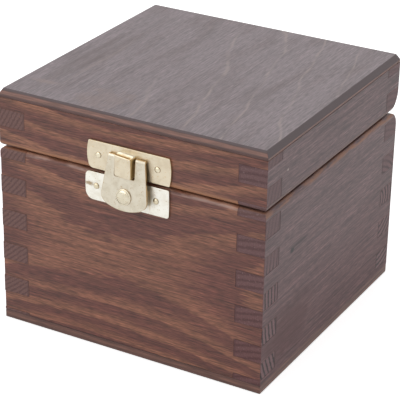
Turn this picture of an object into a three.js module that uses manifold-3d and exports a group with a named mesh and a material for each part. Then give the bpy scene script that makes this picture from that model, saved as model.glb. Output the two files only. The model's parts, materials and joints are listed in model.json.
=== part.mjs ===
// A small finger-jointed wooden box with a hinged lid and a forked snap lock on its front.
// Lengths are in millimetres. X runs to the right, Y to the back and Z up, and the origin is
// the centre of the underside.

import * as THREE from 'three';
import { mergeVertices } from 'three/addons/utils/BufferGeometryUtils.js';
import Module from 'manifold-3d';

const wasm = await Module();
wasm.setup();

// Outside of the box
const boxWidth = 100;
const boxDepth = 100;
const boardThickness = 10;
const bottomPanelThickness = 3;
const baseBoardHeight = 61.6;
const rimGap = 0.6;
const lidBoardHeight = 17.4;
const topPanelThickness = 3;

// Edges: small rounds along the rims, large rounds at the back, chamfers round the top panel
const rimRound = 1.6;
const backRound = 6;
const lidBackRound = 7.3;
const topChamferWidth = 1.25;
const topChamferHeight = 2.1;
const glueLineEasing = 0.2;

// Finger joints, cut before the lid is sawn off the glued frame. The left board was glued in a
// little lower, so the fingers at its two corners sit lower too
const firstFingerHeight = 2.05;
const fingerHeight = 6.32;
const leftJointDrop = 1.1;
const sawKerf = 1.75;
const fingerGap = 0.08;

// Butt hinges, let into the two rims at the back
const hingeSideInset = 14;
const hingeWidth = 18;
const hingePinRadius = 0.65;
const hingePinClearance = 0.05;
const hingePinChamfer = 0.15;
const hingeLeafThickness = 0.65;
const hingeLeafSpacing = 0.3;
const hingeLeafInset = 1.2;
const knuckleGap = 0.15;
const knuckleClearance = 0.12;
const knuckleCount = 3;
const seatGap = 0.05;
const hingeNailSpacing = 10;
const hingeNailLength = 8;
const hingeNailHeadRadius = 1.2;
const hingeNailHeadDepth = 0.55;
const nailShankRadius = 0.55;
const nailPointLength = 1.4;

// Lock plates, nailed to the front
const plateThickness = 0.7;
const plateEdgeEasing = 0.14;
const keeperWidth = 30.5;
const keeperHeight = 9.8;
const keeperShift = 0.6;
const keeperLift = 0.7;
const keeperEndBow = 0.5;
const keeperTopCorner = 0.6;
const keeperLeftCorner = 1.8;
const keeperRightCorner = 0.5;
const keeperNailSpacing = 22.1;
const keeperNailShift = 0.15;
const basePlateWidth = 31.4;
const basePlateHeight = 10;
const basePlateShift = -0.1;
const basePlateEndBow = 0.1;
const basePlateTopLeftCorner = 1.7;
const basePlateTopRightCorner = 0.5;
const basePlateLeftCorner = 3;
const basePlateRightCorner = 1;
const basePlateNailSpacing = 22.4;
const basePlateNailShift = -0.6;
const plateNailHeadRadius = 1.05;
const plateNailHeadHeight = 0.45;
const plateNailDishRadius = 1.6;
const plateNailDishDepth = 0.25;
const plateNailTipCover = 2.5;

// Boss of the keeper and the shoulders that the lever hooks over
const bossWidth = 6.55;
const bossHeight = 7.4;
const bossStand = 3.3;
const bossShift = 0.2;
const bossLift = 0.7;
const bossCorner = 0.6;
const bossEdgeRound = 0.35;
const bossDraftShare = 0.08;
const bossTopSlope = 0.15;
const bossSkew = 0.08;
const shoulderWidth = 1.8;
const shoulderHeight = 0.6;
const shoulderRamp = 2.2;
const catchPlay = 0.15;

// Forked lever, its fulcrum, rivet and spring
const leverThickness = 0.7;
const leverTopWidth = 13.4;
const leverTopShift = 0.75;
const leverBottomWidth = 17.1;
const leverBottomShift = 0.35;
const leverTopRise = 7.5;
const leverBottomLift = 0.25;
const leverCornerRound = 2.2;
const leverThumbDepth = 2.4;
const notchClearance = 0.57;
const notchFloorClearance = 0.5;
const notchCorner = 0.5;
const prongGap = 0.75;
const lipThickness = 0.9;
const lipClearance = 0.1;
const lipCurl = 1.1;
const fulcrumHeight = 1.6;
const fulcrumHalfBase = 1.1;
const fulcrumTipRadius = 0.3;
const fulcrumLength = 3.6;
const fulcrumOffset = 5.8;
const fulcrumAboveRivet = 1.95;
const fulcrumClearance = 0.05;
const rivetAboveCentre = 0.05;
const rivetShift = 0.3;
const rivetHeadRadius = 2.8;
const rivetHeadHeight = 0.9;
const rivetGrooveRadius = 2.45;
const rivetGrooveWidth = 0.3;
const rivetShankRadius = 0.9;
const rivetTailRadius = 1.3;
const rivetTailHeight = 0.3;
const springWidth = 5;
const springThickness = 0.25;
const springStudRadius = 0.6;
const springStudHeight = 0.45;
const springStudAboveRivet = 2.1;
const springLegMargin = 1.1;
const springFootDrop = 2.3;

// Overrun of cuts past the surface that they open, and facets of round forms
const overrun = 1;
const arcFacets = 5;
const backRoundFacets = 9;
const turnedFacets = 20;
const holeFacets = 14;

// Levels and faces that the pieces share
const front = -boxDepth / 2;
const back = boxDepth / 2;
const rim = bottomPanelThickness + baseBoardHeight;
const lidBottom = rim + rimGap;
const lidBoardTop = lidBottom + lidBoardHeight;
const lidTop = lidBoardTop + topPanelThickness;
const split = (rim + lidBottom) / 2;

// A triangle mesh as a solid: shared corners merged, empty triangles dropped, faces outwards
function solid(geometry) {
  const bare = geometry.clone();
  bare.deleteAttribute('normal');
  bare.deleteAttribute('uv');
  const merged = mergeVertices(bare);
  const corners = merged.index.array;
  const kept = [];
  for (let i = 0; i < corners.length; i += 3) {
    const [a, b, c] = [corners[i], corners[i + 1], corners[i + 2]];
    if (a !== b && b !== c && c !== a) kept.push([a, b, c]);
  }
  const places = merged.attributes.position;
  const corner = (i) => new THREE.Vector3().fromBufferAttribute(places, i);
  const volume = kept.reduce(
    (sum, [a, b, c]) => sum + corner(a).dot(corner(b).cross(corner(c))),
    0,
  );
  const facing = volume < 0 ? kept.map(([a, b, c]) => [a, c, b]) : kept;
  return new wasm.Manifold(
    new wasm.Mesh({
      numProp: 3,
      vertProperties: new Float32Array(places.array),
      triVerts: new Uint32Array(facing.flat()),
    }),
  );
}

// A solid back as a drawable geometry
function drawn(shape) {
  const mesh = shape.getMesh();
  const indexed = new THREE.BufferGeometry();
  indexed.setAttribute('position', new THREE.BufferAttribute(mesh.vertProperties, mesh.numProp));
  indexed.setIndex(new THREE.BufferAttribute(mesh.triVerts, 1));
  const geometry = indexed.toNonIndexed();
  geometry.computeVertexNormals();
  return geometry;
}

const joined = (solids) => solids.reduce((all, next) => all.add(next));
const cutBy = (body, cutters) => cutters.reduce((rest, cutter) => rest.subtract(cutter), body);

// An outline in X and Z, drawn out along Y from near to far
function prismAlongY(outline, near, far, facets = arcFacets) {
  const geometry = new THREE.ExtrudeGeometry(outline, {
    depth: far - near,
    bevelEnabled: false,
    curveSegments: facets,
  });
  geometry.rotateX(Math.PI / 2);
  geometry.translate(0, far, 0);
  return solid(geometry);
}

// An outline in Y and Z, drawn out along X from low to high
function prismAlongX(outline, low, high, facets = arcFacets) {
  const geometry = new THREE.ExtrudeGeometry(outline, {
    depth: high - low,
    bevelEnabled: false,
    curveSegments: facets,
  });
  const turn = new THREE.Matrix4().makeBasis(
    new THREE.Vector3(0, 1, 0),
    new THREE.Vector3(0, 0, 1),
    new THREE.Vector3(1, 0, 0),
  );
  geometry.applyMatrix4(turn);
  geometry.translate(low, 0, 0);
  return solid(geometry);
}

function slab(x, y, z) {
  const geometry = new THREE.BoxGeometry(x[1] - x[0], y[1] - y[0], z[1] - z[0]);
  geometry.translate((x[0] + x[1]) / 2, (y[0] + y[1]) / 2, (z[0] + z[1]) / 2);
  return solid(geometry);
}

// A turned form: its profile of [radius, height] pairs stands on place and points along axis
function turned(profile, axis, place, facets = turnedFacets) {
  const points = profile.map(([radius, height]) => new THREE.Vector2(radius, height));
  const geometry = new THREE.LatheGeometry(points, facets);
  const turn = new THREE.Quaternion().setFromUnitVectors(new THREE.Vector3(0, 1, 0), axis);
  geometry.applyQuaternion(turn);
  geometry.translate(place.x, place.y, place.z);
  return solid(geometry);
}

function bore(radius, axis, place, depth) {
  const profile = [
    [0, -depth],
    [radius, -depth],
    [radius, overrun],
    [0, overrun],
  ];
  return turned(profile, axis, place, holeFacets);
}

const alongX = new THREE.Vector3(1, 0, 0);
const outwards = new THREE.Vector3(0, -1, 0);
const upwards = new THREE.Vector3(0, 0, 1);
const downwards = new THREE.Vector3(0, 0, -1);

// A corner's fingers from the bottom up, as heights of the uncut frame with their owner
function cornerFingers(drop) {
  const frameHeight = baseBoardHeight + sawKerf + lidBoardHeight;
  const fingers = [{ low: 0, high: firstFingerHeight - drop, owner: 'side' }];
  while (fingers.at(-1).high < frameHeight) {
    const last = fingers.at(-1);
    const owner = last.owner === 'side' ? 'end' : 'side';
    fingers.push({ low: last.high, high: last.high + fingerHeight, owner });
  }
  return fingers;
}

// A corner's fingers that stay on one part of the sawn frame, lifted to where that part stands
function fingersBetween(low, high, lift, drop) {
  const kept = cornerFingers(drop)
    .map((finger) => ({
      low: Math.max(finger.low, low),
      high: Math.min(finger.high, high),
      owner: finger.owner,
    }))
    .filter((finger) => finger.high - finger.low > fingerGap);
  return kept.map((finger) => ({
    low: finger.low - low + lift,
    high: finger.high - low + lift,
    owner: finger.owner,
  }));
}

// One end of a board: it reaches the corner where it owns a finger, and stops at the
// neighbour's inner face where it doesn't
function combEdge(halfLength, fingers, owner, spare) {
  const edge = [];
  fingers.forEach((finger, i) => {
    const owned = finger.owner === owner;
    const reach = owned ? halfLength + overrun : halfLength - boardThickness - fingerGap;
    const inset = owned ? fingerGap / 2 : -fingerGap / 2;
    const low = i === 0 ? finger.low - spare.below : finger.low + inset;
    const high = i === fingers.length - 1 ? finger.high + spare.above : finger.high - inset;
    edge.push(new THREE.Vector2(reach, low), new THREE.Vector2(reach, high));
  });
  return edge;
}

// A board's whole comb outline, from the fingers at its low and its high end
function combOutline(halfLength, [lowEnd, highEnd], owner, spare) {
  const near = combEdge(halfLength, highEnd, owner, spare);
  const far = combEdge(halfLength, lowEnd, owner, spare).reverse();
  return new THREE.Shape([...near, ...far.map((point) => new THREE.Vector2(-point.x, point.y))]);
}

// The four boards of one part of the sawn frame, before its edges are rounded
function combBoards(low, high, lift, spare) {
  const left = fingersBetween(low, high, lift, leftJointDrop);
  const right = fingersBetween(low, high, lift, 0);
  const across = combOutline(boxWidth / 2, [left, right], 'end', spare);
  const leftSide = combOutline(boxDepth / 2, [left, left], 'side', spare);
  const rightSide = combOutline(boxDepth / 2, [right, right], 'side', spare);
  const halfWidth = boxWidth / 2;
  return {
    front: prismAlongY(across, front - overrun, front + boardThickness),
    back: prismAlongY(across, back - boardThickness, back + overrun),
    left: prismAlongX(leftSide, -halfWidth - overrun, -halfWidth + boardThickness),
    right: prismAlongX(rightSide, halfWidth - boardThickness, halfWidth + overrun),
  };
}

// The shallow groove that the eased edges leave where a panel is glued on, seen on one side
function easedGlueLine(outline, side, height, direction) {
  outline.lineTo(side, height - glueLineEasing * direction);
  outline.lineTo(side - Math.sign(side) * glueLineEasing, height);
  outline.lineTo(side, height + glueLineEasing * direction);
}

// The base's outer form: flat below, its rim rounded, with the large round along the back
function baseOutline(low, high, highRound) {
  const outline = new THREE.Shape();
  outline.moveTo(low, 0);
  outline.lineTo(high, 0);
  easedGlueLine(outline, high, bottomPanelThickness, 1);
  outline.lineTo(high, rim - highRound);
  outline.absarc(high - highRound, rim - highRound, highRound, 0, Math.PI / 2, false);
  outline.lineTo(low + rimRound, rim);
  outline.absarc(low + rimRound, rim - rimRound, rimRound, Math.PI / 2, Math.PI, false);
  easedGlueLine(outline, low, bottomPanelThickness, -1);
  outline.closePath();
  return outline;
}

// The lid's outer form: rounds below, chamfers above
function lidOutline(low, high, highRound) {
  const outline = new THREE.Shape();
  const bevelFoot = lidTop - topChamferHeight;
  outline.moveTo(low + rimRound, lidBottom);
  outline.lineTo(high - highRound, lidBottom);
  outline.absarc(high - highRound, lidBottom + highRound, highRound, -Math.PI / 2, 0, false);
  easedGlueLine(outline, high, lidBoardTop, 1);
  outline.lineTo(high, bevelFoot);
  outline.lineTo(high - topChamferWidth, lidTop);
  outline.lineTo(low + topChamferWidth, lidTop);
  outline.lineTo(low, bevelFoot);
  easedGlueLine(outline, low, lidBoardTop, -1);
  outline.lineTo(low, lidBottom + rimRound);
  outline.absarc(low + rimRound, lidBottom + rimRound, rimRound, Math.PI, 1.5 * Math.PI, false);
  return outline;
}

// A part's whole outer form: its profile from the side, cut by its profile from the front
function outerForm(outlineOf, highRound) {
  const side = prismAlongX(
    outlineOf(front, back, highRound),
    -boxWidth / 2 - overrun,
    boxWidth / 2 + overrun,
    backRoundFacets,
  );
  const face = prismAlongY(
    outlineOf(-boxWidth / 2, boxWidth / 2, rimRound),
    front - overrun,
    back + overrun,
  );
  return side.intersect(face);
}

// Hinge

const knuckleRadius = hingePinRadius + hingePinClearance + hingeLeafThickness;
// The knuckle lies as deep in the groove between the two back rounds as it can turn freely
const knuckleReach = backRound + knuckleRadius + knuckleClearance;
const roundToAxis = Math.sqrt(knuckleReach ** 2 - (backRound + rimGap / 2) ** 2);
const hingeAxis = { y: back - backRound + roundToAxis, z: split };
const leafFront = back - boardThickness + hingeLeafInset;
const leafBack = hingeAxis.y - knuckleRadius - knuckleGap;
const hingeNailY = (leafFront + leafBack) / 2;
const hingeReach = boxWidth / 2 - hingeSideInset - hingeWidth / 2;

// side is -1 for the base's half of the hinge and 1 for the lid's
function leafSpan(side) {
  const inner = hingeAxis.z + (side * hingeLeafSpacing) / 2;
  const outer = inner + side * hingeLeafThickness;
  return [Math.min(inner, outer), Math.max(inner, outer)];
}

function hingeNailPlaces(centre, side) {
  const face = hingeAxis.z + (side * hingeLeafSpacing) / 2;
  return [-1, 1].map(
    (hand) => new THREE.Vector3(centre + (hand * hingeNailSpacing) / 2, hingeNailY, face),
  );
}

// A countersunk head's profile, its top at height 0; slack widens it into its hole
function sunkHead(slack) {
  return [
    [nailShankRadius + slack, -hingeNailHeadDepth],
    [hingeNailHeadRadius + slack, 0],
  ];
}

function hingeNail(place, axis) {
  const profile = [
    [0, -hingeNailLength],
    [nailShankRadius, nailPointLength - hingeNailLength],
    ...sunkHead(0),
    [0, 0],
  ];
  return turned(profile, axis, place, holeFacets);
}

function hingeNailHole(place, axis) {
  const profile = [
    [0, -hingeNailLength - seatGap],
    [nailShankRadius + seatGap, -hingeNailLength - seatGap],
    ...sunkHead(seatGap),
    [hingeNailHeadRadius + seatGap, overrun],
    [0, overrun],
  ];
  return turned(profile, axis, place, holeFacets);
}

function hingeLeaf(centre, side) {
  const span = leafSpan(side);
  const half = hingeWidth / 2;
  const pieces = [slab([centre - half, centre + half], [leafFront, leafBack], span)];
  const ring = new THREE.Shape();
  ring.absarc(hingeAxis.y, hingeAxis.z, knuckleRadius, 0, 2 * Math.PI, false);
  const eye = new THREE.Path();
  eye.absarc(hingeAxis.y, hingeAxis.z, hingePinRadius + hingePinClearance, 0, 2 * Math.PI, true);
  ring.holes.push(eye);
  const intoRing = hingeAxis.y - (knuckleRadius + hingePinRadius + hingePinClearance) / 2;
  const pitch = hingeWidth / knuckleCount;
  for (let i = side < 0 ? 0 : 1; i < knuckleCount; i += 2) {
    const low = centre - half + i * pitch + (i > 0 ? knuckleGap / 2 : 0);
    const high = centre - half + (i + 1) * pitch - (i < knuckleCount - 1 ? knuckleGap / 2 : 0);
    pieces.push(prismAlongX(ring, low, high, turnedFacets / 2));
    pieces.push(slab([low, high], [leafBack - seatGap, intoRing], span));
  }
  const axis = side < 0 ? upwards : downwards;
  const holes = hingeNailPlaces(centre, side).map((place) => hingeNailHole(place, axis));
  return cutBy(joined(pieces), holes);
}

function hingePin(centre) {
  const half = hingeWidth / 2;
  const profile = [
    [0, -half],
    [hingePinRadius - hingePinChamfer, -half],
    [hingePinRadius, hingePinChamfer - half],
    [hingePinRadius, half - hingePinChamfer],
    [hingePinRadius - hingePinChamfer, half],
    [0, half],
  ];
  return turned(profile, alongX, new THREE.Vector3(centre, hingeAxis.y, hingeAxis.z));
}

// What a back board loses to one hinge: the shallow mortise for the leaf, and the nail holes
function hingeRecess(centre, side) {
  const span = leafSpan(side);
  const half = hingeWidth / 2 + seatGap;
  const floor = side < 0 ? span[0] - seatGap : span[1] + seatGap;
  const open = split - side * overrun;
  const heights = [Math.min(floor, open), Math.max(floor, open)];
  const depths = [leafFront - seatGap, back + overrun];
  const mortise = slab([centre - half, centre + half], depths, heights);
  const axis = side < 0 ? upwards : downwards;
  return [mortise, ...hingeNailPlaces(centre, side).map((place) => hingeNailHole(place, axis))];
}

// Lock plates

// Where the two plates and their nails are, and how far the plates' ends bow outwards
const keeper = {
  low: lidBottom + keeperLift,
  high: lidBottom + keeperLift + keeperHeight,
  left: keeperShift - keeperWidth / 2,
  right: keeperShift + keeperWidth / 2,
  bow: keeperEndBow,
  nails: [keeperNailShift - keeperNailSpacing / 2, keeperNailShift + keeperNailSpacing / 2],
};
const basePlate = {
  low: rim - basePlateHeight,
  high: rim,
  left: basePlateShift - basePlateWidth / 2,
  right: basePlateShift + basePlateWidth / 2,
  bow: basePlateEndBow,
  nails: [
    basePlateNailShift - basePlateNailSpacing / 2,
    basePlateNailShift + basePlateNailSpacing / 2,
  ],
};

// A plate's outline with four corner rounds and bowed ends
function plateOutline(plate, corners) {
  const { low, high, left, right, bow } = plate;
  const { leftLow, leftHigh, rightLow, rightHigh } = corners;
  const middle = (low + high) / 2;
  const outline = new THREE.Shape();
  outline.moveTo(left + leftLow, low);
  outline.lineTo(right - rightLow, low);
  outline.absarc(right - rightLow, low + rightLow, rightLow, -Math.PI / 2, 0, false);
  outline.quadraticCurveTo(right + 2 * bow, middle, right, high - rightHigh);
  outline.absarc(right - rightHigh, high - rightHigh, rightHigh, 0, Math.PI / 2, false);
  outline.lineTo(left + leftHigh, high);
  outline.absarc(left + leftHigh, high - leftHigh, leftHigh, Math.PI / 2, Math.PI, false);
  outline.quadraticCurveTo(left - 2 * bow, middle, left, low + leftLow);
  outline.absarc(left + leftLow, low + leftLow, leftLow, Math.PI, 1.5 * Math.PI, false);
  return outline;
}

// A flat piece of sheet on the front: an outline in X and Z that stands from one offset to
// another off the wood, its edges eased
function sheet(outline, inner, outer, easing) {
  const geometry = new THREE.ExtrudeGeometry(outline, {
    depth: outer - inner - 2 * easing,
    bevelEnabled: true,
    bevelThickness: easing,
    bevelSize: easing,
    bevelOffset: -easing,
    bevelSegments: 2,
    curveSegments: arcFacets,
  });
  geometry.rotateX(Math.PI / 2);
  geometry.translate(0, front - inner - easing, 0);
  return geometry;
}

const plateNailLength = boardThickness - plateNailTipCover;
const plateNailSeat = plateThickness - plateNailDishDepth;

// The places of a plate's left and right nail
function plateNailPlaces(plate) {
  const height = (plate.low + plate.high) / 2;
  return plate.nails.map((x) => new THREE.Vector3(x, front - plateNailSeat, height));
}

function plateNail(place) {
  const profile = [
    [0, -plateNailLength],
    [nailShankRadius, nailPointLength - plateNailLength],
    [nailShankRadius, 0],
    [plateNailHeadRadius, 0],
  ];
  for (let i = 1; i < arcFacets; i += 1) {
    const angle = (i / arcFacets) * (Math.PI / 2);
    profile.push([plateNailHeadRadius * Math.cos(angle), plateNailHeadHeight * Math.sin(angle)]);
  }
  profile.push([0, plateNailHeadHeight]);
  return turned(profile, outwards, place);
}

// The hole for one plate nail with the dish under its head, through plate and wood
function plateNailHole(place) {
  const dishFloor = plateNailHeadRadius + seatGap;
  const profile = [
    [0, -plateNailLength - seatGap],
    [nailShankRadius + seatGap, -plateNailLength - seatGap],
    [nailShankRadius + seatGap, -seatGap],
    [dishFloor, -seatGap],
    [plateNailDishRadius, plateNailDishDepth],
    [plateNailDishRadius, overrun],
    [0, overrun],
  ];
  return turned(profile, outwards, place, turnedFacets);
}

// Lever levels: its lips hook over the shoulders, and its back rocks on the fulcrum ribs
const lever = {
  top: keeper.low + leverTopRise,
  bottom: basePlate.low + leverBottomLift,
  lip: keeper.low + leverTopRise - lipThickness,
};
const boss = { low: keeper.low + bossLift, high: keeper.low + bossLift + bossHeight };
const notch = {
  left: bossShift - bossWidth / 2 - notchClearance,
  right: bossShift + bossWidth / 2 + notchClearance,
  floor: boss.low - notchFloorClearance,
};
const prongMiddles = [
  (leverTopShift - leverTopWidth / 2 + notch.left) / 2,
  (leverTopShift + leverTopWidth / 2 + notch.right) / 2,
];
const rivetZ = (basePlate.low + basePlate.high) / 2 + rivetAboveCentre;
const fulcrumZ = rivetZ + fulcrumAboveRivet;
const leverTipStand = plateThickness + prongGap;
const fulcrumStand = plateThickness + fulcrumHeight + fulcrumClearance;
const leverLean = (fulcrumStand - leverTipStand) / (lever.lip - fulcrumZ);
const leverBackAt = (height) => fulcrumStand - (height - fulcrumZ) * leverLean;

// The pressed boss is hollow from behind, one sheet thick. It narrows outwards, its top slopes
// down to the front, and it is pressed a little askew
function bossForm(inset, inner, outer) {
  const leftArc = bossShift - bossWidth / 2 + inset + bossCorner;
  const rightArc = bossShift + bossWidth / 2 - inset - bossCorner;
  const lowArc = boss.low + inset + bossCorner;
  const highArc = boss.high - inset - bossCorner;
  const outline = new THREE.Shape();
  outline.moveTo(leftArc, boss.low + inset);
  outline.absarc(rightArc, lowArc, bossCorner, -Math.PI / 2, 0, false);
  outline.absarc(rightArc, highArc, bossCorner, 0, Math.PI / 2, false);
  outline.absarc(leftArc, highArc, bossCorner, Math.PI / 2, Math.PI, false);
  outline.absarc(leftArc, lowArc, bossCorner, Math.PI, 1.5 * Math.PI, false);
  const geometry = sheet(outline, inner, outer, bossEdgeRound);
  const places = geometry.attributes.position;
  for (let i = 0; i < places.count; i += 1) {
    const standShare = Math.max(0, (front - plateThickness - places.getY(i)) / bossStand);
    const riseShare = (places.getZ(i) - boss.low) / bossHeight;
    const aside = places.getX(i) - bossShift;
    places.setX(i, bossShift + aside * (1 - bossDraftShare * standShare));
    places.setZ(i, places.getZ(i) - bossTopSlope * standShare * riseShare - bossSkew * aside);
  }
  return solid(geometry);
}

// The two low shoulders: a ramp that lets the closing lid push the lever out, and a square
// upper face that the lever's lip hooks over
function shoulder(centre) {
  const top = lever.lip - catchPlay;
  const outline = new THREE.Shape([
    new THREE.Vector2(front - plateThickness / 2, top),
    new THREE.Vector2(front - plateThickness / 2, top - shoulderRamp),
    new THREE.Vector2(front - plateThickness, top - shoulderRamp),
    new THREE.Vector2(front - plateThickness - shoulderHeight, top - shoulderHeight / 2),
    new THREE.Vector2(front - plateThickness - shoulderHeight, top),
  ]);
  return prismAlongX(outline, centre - shoulderWidth / 2, centre + shoulderWidth / 2);
}

function keeperPlate() {
  const corners = {
    leftLow: keeperLeftCorner,
    leftHigh: keeperTopCorner,
    rightLow: keeperRightCorner,
    rightHigh: keeperTopCorner,
  };
  const outline = plateOutline(keeper, corners);
  const plate = solid(sheet(outline, 0, plateThickness, plateEdgeEasing));
  const pressed = joined([
    plate,
    bossForm(0, plateThickness / 2, plateThickness + bossStand),
    ...prongMiddles.map(shoulder),
  ]);
  const hollow = bossForm(plateThickness, -overrun, bossStand);
  return cutBy(pressed, [hollow, ...plateNailPlaces(keeper).map(plateNailHole)]);
}

// A rib pressed up from the lower plate, with a round crest that the lever rocks on
function fulcrumRib(hand) {
  const tipCentre = front - plateThickness - fulcrumHeight + fulcrumTipRadius;
  const outline = new THREE.Shape();
  outline.moveTo(front - plateThickness / 2, fulcrumZ - fulcrumHalfBase);
  outline.lineTo(front - plateThickness / 2, fulcrumZ + fulcrumHalfBase);
  outline.lineTo(front - plateThickness, fulcrumZ + fulcrumHalfBase);
  outline.absarc(tipCentre, fulcrumZ, fulcrumTipRadius, Math.PI / 2, 1.5 * Math.PI, false);
  outline.lineTo(front - plateThickness, fulcrumZ - fulcrumHalfBase);
  const centre = hand * fulcrumOffset;
  return prismAlongX(outline, centre - fulcrumLength / 2, centre + fulcrumLength / 2);
}

function lowerPlate() {
  const corners = {
    leftLow: basePlateLeftCorner,
    leftHigh: basePlateTopLeftCorner,
    rightLow: basePlateRightCorner,
    rightHigh: basePlateTopRightCorner,
  };
  const outline = plateOutline(basePlate, corners);
  const plate = solid(sheet(outline, 0, plateThickness, plateEdgeEasing));
  const studZ = rivetZ + springStudAboveRivet;
  const studPlace = new THREE.Vector3(rivetShift, front - plateThickness, studZ);
  const stud = turned(
    [
      [0, -plateThickness / 2],
      [springStudRadius, -plateThickness / 2],
      [springStudRadius, springStudHeight],
      [0, springStudHeight],
    ],
    outwards,
    studPlace,
    holeFacets,
  );
  const pressed = joined([plate, fulcrumRib(-1), fulcrumRib(1), stud]);
  return cutBy(pressed, plateNailPlaces(basePlate).map(plateNailHole));
}

// The lever from the side: a leaning strip whose tip curls back into the lip
function leverSideOutline() {
  const place = (stand, height) => [front - stand, height];
  const lipEnd = plateThickness + lipClearance;
  const outer = (height) => leverBackAt(height) + leverThickness;
  const outline = new THREE.Shape();
  outline.moveTo(...place(leverBackAt(lever.bottom - overrun), lever.bottom - overrun));
  outline.lineTo(...place(leverBackAt(lever.lip), lever.lip));
  outline.lineTo(...place(lipEnd, lever.lip));
  outline.lineTo(...place(lipEnd, lever.top - lipThickness / 2));
  outline.bezierCurveTo(
    ...place(lipEnd, lever.top),
    ...place(outer(lever.top), lever.top),
    ...place(outer(lever.top - lipCurl), lever.top - lipCurl),
  );
  outline.lineTo(...place(outer(lever.bottom - overrun), lever.bottom - overrun));
  return outline;
}

// The lever from the front: sides that spread downwards, a thumb edge on an arc, and the notch
function leverFrontOutline() {
  const top = lever.top + overrun;
  const shoulderZ = lever.bottom + leverThumbDepth;
  const cornerZ = shoulderZ - leverCornerRound / 2;
  const footZ = shoulderZ + leverCornerRound;
  const across = (reach) => leverBottomShift + reach;
  const bottomHalf = leverBottomWidth / 2;
  const cornerHalf = bottomHalf - leverCornerRound;
  const outline = new THREE.Shape();
  outline.moveTo(leverTopShift + leverTopWidth / 2, top);
  outline.lineTo(across(bottomHalf), footZ);
  outline.quadraticCurveTo(across(bottomHalf), shoulderZ, across(cornerHalf), cornerZ);
  outline.quadraticCurveTo(across(cornerHalf / 2), lever.bottom, across(0), lever.bottom);
  outline.quadraticCurveTo(across(-cornerHalf / 2), lever.bottom, across(-cornerHalf), cornerZ);
  outline.quadraticCurveTo(across(-bottomHalf), shoulderZ, across(-bottomHalf), footZ);
  outline.lineTo(leverTopShift - leverTopWidth / 2, top);
  outline.lineTo(notch.left, top);
  const arcZ = notch.floor + notchCorner;
  outline.absarc(notch.left + notchCorner, arcZ, notchCorner, Math.PI, 1.5 * Math.PI, false);
  outline.absarc(notch.right - notchCorner, arcZ, notchCorner, -Math.PI / 2, 0, false);
  outline.lineTo(notch.right, top);
  return outline;
}

// The rivet stands square to the leaning lever, so its axis leans too
const leverNormal = new THREE.Vector3(0, -1, leverLean).normalize();
const rivetFoot = new THREE.Vector3(rivetShift, front - leverBackAt(rivetZ), rivetZ);
const leverBody = leverThickness * leverNormal.dot(outwards);

function forkedLever() {
  const strip = prismAlongX(leverSideOutline(), -leverBottomWidth, leverBottomWidth, 2 * arcFacets);
  const face = prismAlongY(
    leverFrontOutline(),
    front - fulcrumStand - bossStand - overrun,
    front,
    2 * arcFacets,
  );
  const hole = bore(rivetShankRadius + seatGap, leverNormal, rivetFoot, overrun);
  const through = bore(
    rivetShankRadius + seatGap,
    leverNormal,
    rivetFoot.clone().addScaledVector(leverNormal, overrun),
    overrun,
  );
  return cutBy(strip.intersect(face), [hole, through]);
}

// A domed head with a groove round its crown, a shank through lever and spring, and the tail
function rivet() {
  const seat = leverBody + seatGap;
  const tailTop = -springThickness - 2 * seatGap;
  const crownRadius = rivetGrooveRadius - rivetGrooveWidth / 2;
  const collarRadius = rivetGrooveRadius + rivetGrooveWidth / 2;
  const profile = [
    [0, tailTop - rivetTailHeight],
    [rivetTailRadius, tailTop - rivetTailHeight],
    [rivetTailRadius, tailTop],
    [rivetShankRadius, tailTop],
    [rivetShankRadius, seat],
    [rivetHeadRadius, seat],
    [rivetHeadRadius, seat + rivetHeadHeight / 4],
    [collarRadius, seat + rivetHeadHeight / 2],
    [rivetGrooveRadius, seat + rivetHeadHeight / 4],
    [crownRadius, seat + rivetHeadHeight / 2],
  ];
  for (let i = 1; i < arcFacets; i += 1) {
    const angle = (i / arcFacets) * (Math.PI / 2);
    profile.push([
      crownRadius * Math.cos(angle),
      seat + (rivetHeadHeight * (1 + Math.sin(angle))) / 2,
    ]);
  }
  profile.push([0, seat + rivetHeadHeight]);
  return turned(profile, leverNormal, rivetFoot, 2 * holeFacets);
}

// A hairpin of spring strip: one leg on the lower plate over its stud, a bend at the foot, and
// the other leg up the lever's back to the rivet
function hairpinSpring() {
  const foot = rivetZ - springFootDrop;
  const plateFace = plateThickness + seatGap;
  const leverFace = (height) => leverBackAt(height) - seatGap;
  const bend = (leverFace(foot) - plateFace) / 2;
  const middle = plateFace + bend;
  const innerBend = bend - springThickness;
  const studZ = rivetZ + springStudAboveRivet;
  const lowLegTop = studZ + springLegMargin;
  const highLegTop = rivetZ + rivetShankRadius + springLegMargin / 2;
  const outline = new THREE.Shape();
  outline.moveTo(front - plateFace, lowLegTop);
  outline.absarc(front - middle, foot, bend, 0, Math.PI, true);
  outline.lineTo(front - leverFace(highLegTop), highLegTop);
  outline.lineTo(front - leverFace(highLegTop) + springThickness, highLegTop);
  outline.absarc(front - middle, foot, innerBend, Math.PI, 0, false);
  outline.lineTo(front - plateFace - springThickness, lowLegTop);
  const [low, high] = [rivetShift - springWidth / 2, rivetShift + springWidth / 2];
  const strip = prismAlongX(outline, low, high, 2 * arcFacets);
  const studPlace = new THREE.Vector3(rivetShift, front - plateFace - springThickness, studZ);
  const rivetHole = bore(rivetShankRadius + seatGap, leverNormal, rivetFoot, bend);
  const studHole = bore(springStudRadius + seatGap, outwards, studPlace, overrun);
  return cutBy(strip, [rivetHole, studHole]);
}

// Finishes

const finish = (colour, roughness, metalness) => () =>
  new THREE.MeshStandardMaterial({ color: colour, roughness, metalness });
const walnut = finish(0x7d5b4d, 0.6, 0);
const sideWalnut = finish(0x736565, 0.6, 0);
const panelPly = finish(0x8f8686, 0.55, 0);
const paleBrass = finish(0xddd2b0, 0.35, 1);
const hingeBrass = finish(0xc9b27a, 0.4, 1);
const steel = finish(0x8d8f91, 0.35, 1);

// Assembly

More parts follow.
